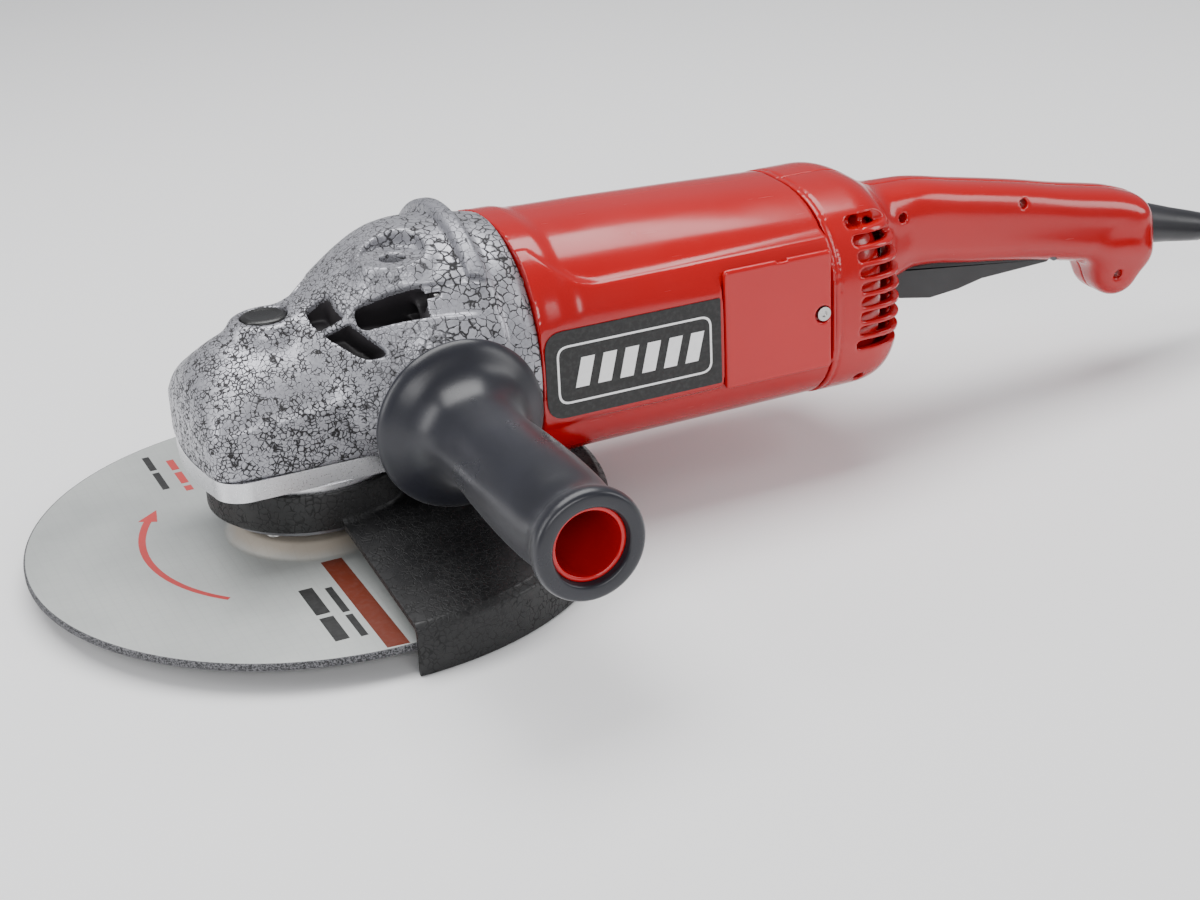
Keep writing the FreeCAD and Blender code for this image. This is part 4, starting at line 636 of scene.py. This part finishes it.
def motor_housing(p):
    x, y, z = p
    r, _ = round_motor(p)
    body = either(housing_section(p), side_pad(p), 2.5)
    body = both(body, slab(x, 82.6, 214.3), 0.4)
    # the room for the motor, and the bridge across it that holds the rear bearing
    inside = both(np.maximum(r - 43.1, x - 172), 80 - x)
    back = both(super_tube(y, z, 46.0, 68.5, 42.5, 3.0), slab(x, 171.5, 216))
    bridge = np.minimum(rod(p, "x", 0, AXIS_Z, 194.5, 206.5, 16), brick(p, (194.5, -48, 65), (206.5, 48, 75)))
    bridge = np.minimum(bridge, brick(p, (194.5, -5, 24), (206.5, 5, 113)))
    for low, high in ((-44, -20), (20, 44)):
        bridge = np.minimum(bridge, brick(p, (186.5, low, 65), (195.5, high, 75)))
    bridge = np.maximum(bridge, -rod(p, "x", 0, AXIS_Z, 197, 220, 11.0))
    bridge = np.maximum(bridge, -rod(p, "x", 0, AXIS_Z, 190, 198, 8.0))
    body = np.maximum(body, -np.maximum(np.minimum(inside, back), -bridge))
    # the window and seat of each brush cover, the label's recess, and the screw holes
    window = brick(p, (166.5, -60, 51.5), (203.5, 60, 92), 2)
    body = np.maximum(body, -np.maximum(window, 30 - np.abs(y)))
    seat = brick(p, (162.1, -60, 46.1), (212.9, 60, 98.4), 0.8)
    body = less(body, np.maximum(seat, 47.3 - np.abs(y)), 0.35)
    label = brick(p, (83.7, -60, 50.2), (161.3, 60, 87.8), 0.5)
    body = less(body, np.maximum(label, 49.55 - np.abs(y)), 0.2)
    for a, b in screw_places(SCREW_CIRCLE):
        body = np.maximum(body, -rod(p, "x", a, b, 80, 95, 2.1))
    for low, high in ((-47.3, -40), (40, 47.3)):
        body = np.minimum(body, brick(p, (204.5, low, 66.5), (212, high, 74.6), 0.5))
    body = np.maximum(body, -rod(p, "y", 208.5, 70.6, -60, 60, 1.6))
    return body


shell = solid_mesh("motor_housing_shell", (82, -51.5, 19), (215, 51.5, 122), GRID, motor_housing)
add_piece("motor_housing_shell", shell, M["red"], "root", ["motor_housing"])


# ---------------------------------------------------------------- rear cap and grip
GRIP_AXIS = [(240, 80), (262, 81.5), (276, 83.4), (306, 78.9), (338, 73.2), (362, 68.0),
             (384, 63.5), (405, 58.5)]
GRIP_TALL = [(240, 24), (262, 21.5), (276, 19.2), (306, 18.4), (338, 17.6), (362, 17.2),
             (384, 17.2), (405, 15.4)]
GRIP_WIDE = [(240, 24), (262, 19.5), (276, 17.4), (306, 17.0), (338, 17.0), (362, 17.2),
             (392, 17.2), (405, 15.2)]
CAP_SCREWS = [(232.0, 102.0), (232.0, 34.0), (266.0, 92.0), (330.0, 86.0), (385.0, 42.0)]
GLAND_SLOPE = math.atan(0.236)
GLAND_BASE = (388.0, 63.5)


def handle_outside(p, wall=0.0):
    """The cap, the grip and the finger horn as one form, or its inside, set in by the wall."""
    x, y, z = p
    swell = super_tube(y, z, 48.8 - wall, 68.2, 45.8 - wall, 2.6)
    cap = both(swell, x - (252.0 - wall), 19.0)
    wide, tall = curve_of(GRIP_WIDE, x) - wall, curve_of(GRIP_TALL, x) - wall
    grip = super_tube(y, z, wide, curve_of(GRIP_AXIS, x), tall, 2.9)
    grip = both(grip, slab(x, 236.0, 405.0 - wall), 9.0)
    form = either(cap, grip, 11.0)
    # the horn: a rounded hook under the grip's end
    spine = np.sqrt(((x - 387.5) / 1.05) ** 2 + ((z - 45.0) / 1.15) ** 2)
    horn = both(spine - (13.0 - wall), np.abs(y) - (13.0 - wall), 8.0)
    return either(form, horn, 9.0)


def gland_frame(p):
    """Distance along the gland's line and off it."""
    x, z = p[0] - GLAND_BASE[0], p[2] - GLAND_BASE[1]
    u = x * math.cos(GLAND_SLOPE) - z * math.sin(GLAND_SLOPE)
    v = x * math.sin(GLAND_SLOPE) + z * math.cos(GLAND_SLOPE)
    return u, np.sqrt(v * v + p[1] * p[1])


def rear_handle(p):
    x, y, z = p
    outside = handle_outside(p)
    hollow = both(handle_outside(p, 2.8), x - 402.0)
    body = np.maximum(outside, -hollow)
    # posts for the screws, the switch and the trigger's pin
    posts = brick(p, (344.5, -14.5, 53.8), (353.5, 14.5, 63))
    for a, b in CAP_SCREWS:
        posts = np.minimum(posts, rod(p, "y", a, b, -60, 60, 5.0))
    for a in (288.0, 316.0):
        posts = np.minimum(posts, brick(p, (a, -15.5, 77.5), (a + 4, 15.5, 95)))
    posts = np.minimum(posts, brick(p, (385, -15.5, 50), (387, 15.5, 76)))
    body = np.minimum(body, np.maximum(posts, outside + 0.5))
    # air slots: open at the side, and wrapped round the cap's corner to its rear face
    for number in range(9):
        height = 52.0 + 6.3 * number
        across = np.abs(z - height) - 2.0
        along = slab(x, 227.5 - 0.22 * (number - 4) ** 2 * 0.5, 262)
        body = less(body, both(both(across, along, 2.0), 33.0 - np.abs(y), 1.0), 0.5)
    # the darker inner wall behind the slots
    liner = np.maximum(np.maximum(handle_outside(p, 5.5), -handle_outside(p, 7.6)), slab(x, 215, 250))
    body = np.minimum(body, np.maximum(liner, 20 - np.abs(y)))
    # grooves beside the seam
    rim = handle_outside(p, 0.55)
    body = np.maximum(body, -np.maximum(-rim, slab(x, 217.1, 217.7)))
    # openings for the trigger, the switch and the gland
    half = 9.5 + 0.3
    body = less(body, brick(p, (265.2, -half, 30), (354.6, half, 74.6)), 0.5)
    body = np.maximum(body, -brick(p, (284, -9.5, 75.5), (324, 9.5, 91)))
    u, off = gland_frame(p)
    body = np.maximum(body, -np.maximum(off - 12.0, slab(u, 0, 4)))
    body = np.maximum(body, -np.maximum(off - 10.1, slab(u, 0, 60)))
    body = np.maximum(body, -np.maximum(off - 4.6, slab(u, -30, 5)))
    for a, b in CAP_SCREWS:
        body = np.maximum(body, -rod(p, "y", a, b, -60, 60, 2.1))
        body = less(body, rod(p, "y", a, b, 10, 60, 4.1), 0.4)
    body = np.maximum(body, -rod(p, "y", 349.0, 57.5, -13, 13, 2.1))
    return np.maximum(body, slab(x, 214.7, 420))


def handle_half(side):
    def solid(p):
        parting = 0.06 - p[1] * side
        return both(rear_handle(p), parting, 0.25)
    return solid


HANDLE_BOX = {-1: ((214, -50.5, 21), (406, 1, 116)), 1: ((214, -1, 21), (406, 50.5, 116))}
for side, word in ((-1, "left"), (1, "right")):
    mesh = solid_mesh("rear_handle_half_" + word, *HANDLE_BOX[side], GRID, handle_half(side))
    add_piece("rear_handle_half_" + word, mesh, M["red"], "root", ["rear_handle_" + word])


# ---------------------------------------------------------------- cord
CORD_EXIT = (0.44056, 0.0, 0.05110)
COIL_CENTRE = (0.568, -0.068)
LEAD = [CORD_EXIT, (0.471, 0.0, 0.044), (0.499, -0.0008, 0.0285), (0.522, -0.003, 0.0125),
        (0.547, -0.0065, 0.003)]
TAIL = [(0.542, -0.1274, 0.0132), (0.520, -0.126, 0.0102), (0.500, -0.125, 0.009)]
# each turn's place in the coil, as (radius, height): in along the floor, out on top, and up for the last
LAYERS = [(0.058, 0.0005), (0.049, 0.0005), (0.040, 0.0005), (0.040, 0.0095), (0.049, 0.0095),
          (0.058, 0.0095), (0.058, 0.0185)]
STEPS = 24              # points in one turn
SPLINE_SHARE = 0.9914   # the curve's radius as a share of its points' radius: cos(180 degrees / STEPS)
CROSSING = 0.26         # the share of a turn over which it moves to its next place
WAITS = (0.9, 0.9, 0.6, 0.3, 0.3, 0.0, 0.0)     # how long each turn waits before it moves, in crossings


def coil_points():
    """Turns change places in their second half, where the last half turn has already left the coil."""
    points = []
    for turn, (radius, height) in enumerate(LAYERS):
        last = turn == len(LAYERS) - 1
        to_radius, to_height = (radius, height) if last else LAYERS[turn + 1]
        begin = 0.5 + CROSSING * WAITS[turn]
        for step in range(STEPS // 2 if last else STEPS):
            share = step / STEPS
            t = min(max((share - begin) / CROSSING, 0.0), 1.0)
            t = t * t * (3 - 2 * t)
            r, h = radius + (to_radius - radius) * t, height + (to_height - height) * t
            angle = math.pi / 2 - 2 * math.pi * share
            r /= SPLINE_SHARE
            points.append((COIL_CENTRE[0] + r * math.cos(angle), COIL_CENTRE[1] + r * math.sin(angle), h))
    return points


def make_cord():
    points = LEAD + coil_points() + TAIL
    curve = bpy.data.curves.new("mains_cord", "CURVE")
    curve.dimensions = "3D"
    spline = curve.splines.new("NURBS")
    spline.points.add(len(points) - 1)
    for control, point in zip(spline.points, points):
        control.co = (*point, 1.0)
    spline.order_u = 3
    spline.use_endpoint_u = True
    spline.resolution_u = 6
    curve.bevel_depth = CORD_RADIUS * MM
    curve.bevel_resolution = 5
    curve.use_fill_caps = True
    curve.materials.append(M["cord"])
    cord = bpy.data.objects.new("mains_cord", curve)
    bpy.context.scene.collection.objects.link(cord)
    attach(cord, "root")
    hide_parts("power_cord", "power_cord_tail", "cord_coil")
    return cord


cord = make_cord()


# ---------------------------------------------------------------- swept and extruded pieces
def swept_mesh(name, outline, start, end, steps):
    """A closed (radius, height) outline swept about Z from one angle to another, capped at both ends."""
    shape = bmesh.new()
    rings = []
    for number in range(steps + 1):
        angle = math.radians(start + (end - start) * number / steps)
        rings.append([shape.verts.new((r * math.cos(angle) * MM, r * math.sin(angle) * MM, h * MM))
                      for r, h in outline])
    count = len(outline)
    for here, there in zip(rings, rings[1:]):
        for k in range(count):
            n = (k + 1) % count
            shape.faces.new((here[k], there[k], there[n], here[n]))
    shape.faces.new(rings[0])
    shape.faces.new(reversed(rings[-1]))
    bmesh.ops.recalc_face_normals(shape, faces=shape.faces)
    mesh = bpy.data.meshes.new(name)
    shape.to_mesh(mesh)
    shape.free()
    return mesh


def slab_mesh(name, outline, place, edge=0.0, parts=3):
    """A flat outline given depth. Place turns (u, v, side) into metres, and edge rounds the rim."""
    shape = bmesh.new()
    low = [shape.verts.new(place(u, v, -1)) for u, v in outline]
    high = [shape.verts.new(place(u, v, 1)) for u, v in outline]
    shape.faces.new(low)
    shape.faces.new(reversed(high))
    for k in range(len(outline)):
        n = (k + 1) % len(outline)
        shape.faces.new((low[k], high[k], high[n], low[n]))
    bmesh.ops.recalc_face_normals(shape, faces=shape.faces)
    if edge:
        rims = [e for e in shape.edges if e.calc_face_angle(0) > 0.9]
        bmesh.ops.bevel(shape, geom=rims, offset=edge * MM, segments=parts, profile=0.5, affect="EDGES")
    mesh = bpy.data.meshes.new(name)
    shape.to_mesh(mesh)
    shape.free()
    return mesh


def lathe_to(mesh, origin, direction):
    """Takes a mesh turned about Z to an axis through origin (mm) along direction."""
    turn = Vector(direction).to_track_quat("Z", "Y").to_matrix().to_4x4()
    mesh.transform(Matrix.Translation(Vector(origin) * MM) @ turn)
    return mesh


# ---------------------------------------------------------------- disc
DISC_RADIUS = 114.8
DISC_OUTLINE = rounded([(11.0, 9.5, 0.1), (29.0, 9.5, 3), (35.0, 4.5, 3), (DISC_RADIUS, 4.5, 0.7),
                        (DISC_RADIUS, 7.5, 0.7), (35.0, 7.5, 3), (29.0, 12.5, 3), (11.0, 12.5, 0.1)], 0.5, 5)
disc_mesh = turned_mesh("abrasive_disc", DISC_OUTLINE, 192)
sharpen(disc_mesh, 40)
add_piece("abrasive_disc", disc_mesh, M["disc"], "spindle_set", ["cutting_disc"], smooth=False)
PRINT_Z = 7.53


def print_mark(name, outline, ink_name):
    """A flat printed mark on the disc's upper face."""
    def place(u, v, side):
        return Vector((u, v, PRINT_Z + 0.03 * side)) * MM
    mesh = slab_mesh(name, outline, place)
    mesh.materials.append(M[ink_name])
    return add_piece(name, mesh, M[ink_name], "spindle_set", smooth=False)


def arrow(radius, width, start, end, head):
    """A curved arrow whose point is at the end angle."""
    toward = 1 if end > start else -1
    neck = end - toward * head
    steps = 24
    shaft = [(start + (neck - start) * number / steps, width * (0.32 + 0.18 * number / steps))
             for number in range(steps + 1)]
    line = [(radius - half, angle) for angle, half in shaft]
    line += [(radius - width * 1.25, neck), (radius, end), (radius + width * 1.25, neck)]
    line += [(radius + half, angle) for angle, half in reversed(shaft)]
    return [(r * math.cos(math.radians(a)), r * math.sin(math.radians(a))) for r, a in line]


ARROW_TAIL, ARROW_TIP = 224.0, 142.0
print_mark("disc_print_arrow", arrow(68.5, 3.2, ARROW_TAIL, ARROW_TIP, 9.0), "arrow_ink")
print_mark("disc_print_band", [(-9.5, -37), (-1.0, -37), (-1.0, -113.2), (-9.5, -112.6)], "band_ink")


def bar_rows(name, rows, ink_name):
    """Plain bars standing in for printed words: (start, end) stretches along Y in rows at X."""
    for row, (x, depth, stretches) in enumerate(rows):
        for number, (a, b) in enumerate(stretches):
            print_mark(f"{name}_{row}_{number}", [(x, a), (x + depth, a), (x + depth, b), (x, b)], ink_name)


bar_rows("disc_print_grade", [(-24.5, 5.5, [(-99, -80), (-77, -55)])], "black_ink")
bar_rows("disc_print_use", [(-15.0, 2.8, [(-100, -82), (-79.5, -58)])], "black_ink")
bar_rows("disc_print_size", [(-46.5, 3.0, [(60, 78), (81, 96)]), (-28.5, 2.8, [(62, 74), (76, 88)])],
         "black_ink")
bar_rows("disc_print_inch", [(-38.0, 3.2, [(54, 59), (62, 74), (77, 88)])], "arrow_ink")


# ---------------------------------------------------------------- guard
GUARD_OUTLINE = rounded([(38.9, 37.8, 0.1), (41.0, 37.8, 0.8), (41.0, 24.3, 2.2), (116.3, 16.4, 2.4),
                         (119.4, 14.2, 1.6), (119.4, -3.9, 0.6), (117.6, -3.9, 0.6), (117.6, 13.2, 1.6),
                         (116.0, 14.3, 2.0), (39.2, 22.1, 0.4), (39.0, 35.9, 0.1)], 0.5, 4)
guard_mesh = swept_mesh("guard_sheet", GUARD_OUTLINE, -90.0, 90.0, 96)
HAT_OUTLINE = rounded([(33.9, 37.7), (41.0, 37.7, 0.9), (41.0, 22.1, 0.5), (39.0, 22.1, 0.5),
                       (39.0, 35.7, 0.5), (33.9, 35.7)], 0.3, 3)
hat_mesh = turned_mesh("guard_hat", HAT_OUTLINE, 128)
for name, mesh, replaced in (("guard_sheet", guard_mesh, ["disc_guard"]), ("guard_hat", hat_mesh, ())):
    sharpen(mesh, 40)
    add_piece(name, mesh, M["guard"], "guard", replaced, smooth=False)


# ---------------------------------------------------------------- side handle
GRIP_OUTSIDE = [(31.2, 60.0), (33.7, 62.2), (31.4, 66.0), (24.8, 71.0), (20.4, 77.5), (18.2, 86.0),
                (17.8, 97.0), (18.7, 113.0), (19.4, 134.0), (19.2, 152.0), (18.4, 164.0), (18.9, 170.0),
                (20.4, 174.4), (20.5, 177.6), (19.0, 179.8), (15.2, 179.9), (14.1, 178.9)]


def smooth_line(points, parts=5):
    """A Catmull-Rom curve through the points."""
    p = [np.array(q, float) for q in points]
    p = [2 * p[0] - p[1]] + p + [2 * p[-1] - p[-2]]
    out = []
    for k in range(1, len(p) - 2):
        for step in range(parts):
            t = step / parts
            out.append(tuple(0.5 * (2 * p[k] + (p[k + 1] - p[k - 1]) * t
                                    + (2 * p[k - 1] - 5 * p[k] + 4 * p[k + 1] - p[k + 2]) * t * t
                                    + (3 * p[k] - p[k - 1] - 3 * p[k + 1] + p[k + 2]) * t ** 3)))
    return out + [tuple(p[-2])]


def side_handle_piece(name, line, material, replaced):
    """A piece of the side handle, turned about the boss's axis."""
    mesh = turned_mesh(name, line, 128)
    sharpen(lathe_to(mesh, (SIDE_BOSS[0], 0, SIDE_BOSS[1]), (0, -1, 0)), 50)
    add_piece(name, mesh, M[material], "side_grip", [replaced], smooth=False)


GRIP_LINE = [(14.1, 58.2), (29.5, 58.2)] + smooth_line(GRIP_OUTSIDE)
TUBE_LINE = rounded([(12.0, 75.0, 0.2), (14.0, 75.0, 0.2), (14.0, 177.0, 1.0), (12.0, 177.0, 1.0)], 0.5, 5)
side_handle_piece("side_grip_rubber", GRIP_LINE, "grip", "side_handle_grip")
side_handle_piece("side_grip_tube", TUBE_LINE, "red_cover", "side_handle_tube")


# ---------------------------------------------------------------- label and brush covers
def on_flank(side, out, depth):
    """Places (x, z) on the flat flank at y = out, with a thin depth either way."""
    def place(u, v, face):
        return Vector((u, side * (out + depth * face), v)) * MM
    return place


LABEL_BOX = [(84.2, 50.8, 8), (160.8, 50.8, 0.8), (160.8, 87.2, 0.8), (84.2, 87.2, 8)]
FRAME_BOX = [(89.0, 56.5, 5), (156.5, 56.5, 5), (156.5, 81.0, 5), (89.0, 81.0, 5)]
FRAME_CENTRE = (122.75, 68.75)
FRAME_LINE = 0.9
for side, word in ((-1, "left"), (1, "right")):
    plate = slab_mesh("label_" + word, rounded(LABEL_BOX, 1, 6), on_flank(side, 49.85, 0.2), 0.1, 2)
    add_piece("label_plate_" + word, plate, M["label"], "root", ["side_plate_" + word],
              smooth=False)
    outer_line = rounded(FRAME_BOX, 5, 8)
    inner_box = [(u + FRAME_LINE * np.sign(FRAME_CENTRE[0] - u), v + FRAME_LINE * np.sign(FRAME_CENTRE[1] - v),
                  4.2) for u, v, _ in FRAME_BOX]
    inner_line = rounded(inner_box, 4.2, 8)
    shape = bmesh.new()
    place = on_flank(side, 50.06, 0.0)
    rings = [[shape.verts.new(place(u, v, 0)) for u, v in line] for line in (outer_line, inner_line)]
    for k in range(len(outer_line)):
        n = (k + 1) % len(outer_line)
        shape.faces.new((rings[0][k], rings[0][n], rings[1][n], rings[1][k]))
    mesh = bpy.data.meshes.new("label_frame_" + word)
    shape.to_mesh(mesh)
    shape.free()
    add_piece("label_frame_" + word, mesh, M["white_ink"], "root", smooth=False)
    for number in range(6):
        u = 99.0 + 9.6 * number
        bar = [(u - 2.6, 62.6), (u + 3.2, 62.6), (u + 6.2, 74.9), (u + 0.4, 74.9)]
        mark = slab_mesh(f"label_bar_{word}_{number}", bar, on_flank(side, 50.05, 0.02))
        add_piece(f"label_bar_{word}_{number}", mark, M["white_ink"], "root", smooth=False)


def brush_cover(side):
    def solid(p):
        body = brick(p, (162.8, -50.0, 46.8), (212.2, 50.0, 97.7), 1.6)
        body = np.maximum(body, 47.6 - p[1] * side)
        body = less(body, rod(p, "y", 208.0, 70.6, -60, 60, 3.7), 0.5)
        return less(body, brick(p, (187.0, -60, 96.6), (191.5, 60, 99)), 0.4)
    return solid


for side, word in ((-1, "left"), (1, "right")):
    low, high = ((161, -51, 45), (214, -47, 99)) if side < 0 else ((161, 47, 45), (214, 51, 99))
    mesh = solid_mesh("brush_lid_" + word, low, high, GRID * 0.7, brush_cover(side))
    add_piece("brush_lid_" + word, mesh, M["red_cover"], "root", ["brush_cover_" + word])


# ---------------------------------------------------------------- trigger, boot and lock button
TRIGGER = [(267.2, 66.0, 0.5), (267.2, 57, 3), (269.4, 51.9, 2.5), (286, 48.8, 3), (301, 50.1, 4),
           (313, 52.6, 5), (348, 53.8, 2), (352.6, 57.5, 3), (349, 61.2, 2), (313, 65.8, 2)]


def across_trigger(u, v, side):
    return Vector((u, 9.4 * side, v)) * MM


trigger_mesh = slab_mesh("trigger_lever", rounded(TRIGGER, 2, 5), across_trigger, 1.2, 3)
sharpen(trigger_mesh, 35)
add_piece("trigger_lever", trigger_mesh, M["black"], "trigger", ["trigger"], smooth=False)

boot_line = rounded([(4.55, 0.0, 0.2), (11.9, 0.0, 0.6), (11.9, 3.9, 0.6), (9.95, 3.9, 0.2),
                     (9.95, 14.2, 0.4), (9.8, 17.0, 2), (8.1, 34.0, 4), (7.2, 47.0, 4), (6.6, 53.9, 1.6),
                     (4.55, 53.9, 0.4)], 0.5, 4)
boot_mesh = turned_mesh("cord_boot", boot_line, 96)
gland_way = (math.cos(GLAND_SLOPE), 0, -math.sin(GLAND_SLOPE))
sharpen(lathe_to(boot_mesh, (GLAND_BASE[0], 0, GLAND_BASE[1]), gland_way), 40)
add_piece("cord_boot", boot_mesh, M["cord"], "root", ["strain_relief"], smooth=False)


button_line = rounded([(0.01, 97.4, 0), (7.3, 97.4, 0.3), (7.3, 92.6, 0.2), (8.9, 92.6, 0.2),
                       (8.9, 98.3, 0.9), (7.2, 98.9, 1.0), (5.5, 98.4, 2.0), (0.01, 98.2, 0)], 0.5, 4)
button_mesh = turned_mesh("lock_button_cap", button_line, 96)
sharpen(lathe_to(button_mesh, (*BUTTON, 0.0), (0, 0, 1)), 40)
add_piece("lock_button_cap", button_mesh, M["button"], "lock_button", ["spindle_lock_button"],
          smooth=False)


# ---------------------------------------------------------------- the CAD's own pieces
LOOKS = {"cast": "cast", "plate": "plate", "screw_steel": "steel", "bearing_steel": "ground",
         "dark_steel": "dark_steel", "spring_steel": "steel", "lamination": "sheets", "copper": "wire",
         "brass": "brass", "carbon": "carbon", "guard_black": "guard", "disc": "disc", "red_plastic": "red",
         "red_cover": "red_cover", "side_plate": "label", "black_plastic": "black", "fan_plastic": "nylon",
         "seal_rubber": "cord", "grip_rubber": "grip", "cord_rubber": "cord", "pin_metal": "nickel"}
SPECIAL = {"side_handle_tube": "red_cover", "spindle_lock_button": "button"}
for part in frame["record"]["subparts"]:
    node = frame["nodes"][part["node"]]
    look = M[SPECIAL.get(part["node"], LOOKS[part["material_slot"]])]
    for material_slot in node.material_slots:
        material_slot.link = "OBJECT"
        material_slot.material = look


# ---------------------------------------------------------------- stage
def make_stage():
    mesh = bpy.data.meshes.new("floor")
    size, height = 6.0, FLOOR_Z * MM - 0.0003
    corners = [(-size, -size, height), (size, -size, height), (size, size, height), (-size, size, height)]
    mesh.from_pydata(corners, [], [(0, 1, 2, 3)])
    floor = bpy.data.objects.new("floor", mesh)
    bpy.context.scene.collection.objects.link(floor)
    g = Graph("pale_floor")
    mesh.materials.append(g.finish(rgb(0.86, 0.86, 0.86), 0.7))


def soft_box(name, place, aim, size, power):
    data = bpy.data.lights.new(name, "AREA")
    data.shape = "RECTANGLE"
    data.size, data.size_y = size
    data.energy = power
    lamp = bpy.data.objects.new(name, data)
    lamp.location = place
    lamp.rotation_euler = (Vector(aim) - Vector(place)).to_track_quat("-Z", "Y").to_euler()
    bpy.context.scene.collection.objects.link(lamp)


make_stage()
soft_box("top_box", (0.1, 0.25, 1.3), (0.15, 0.0, 0.05), (1.6, 0.8), 27.0)
soft_box("front_box", (-0.3, -1.5, 0.75), (0.12, 0, 0.06), (1.5, 0.45), 15.0)
soft_box("left_box", (-1.4, 0.1, 0.7), (0.0, 0, 0.05), (0.5, 1.2), 11.0)
soft_box("right_box", (1.5, -0.6, 0.8), (0.2, 0, 0.06), (0.5, 1.0), 8.0)
world = bpy.data.worlds.new("studio")
world.use_nodes = True
background = world.node_tree.nodes["Background"].inputs
background["Color"].default_value = (0.93, 0.94, 1.0, 1.0)
background["Strength"].default_value = 0.34
bpy.context.scene.world = world
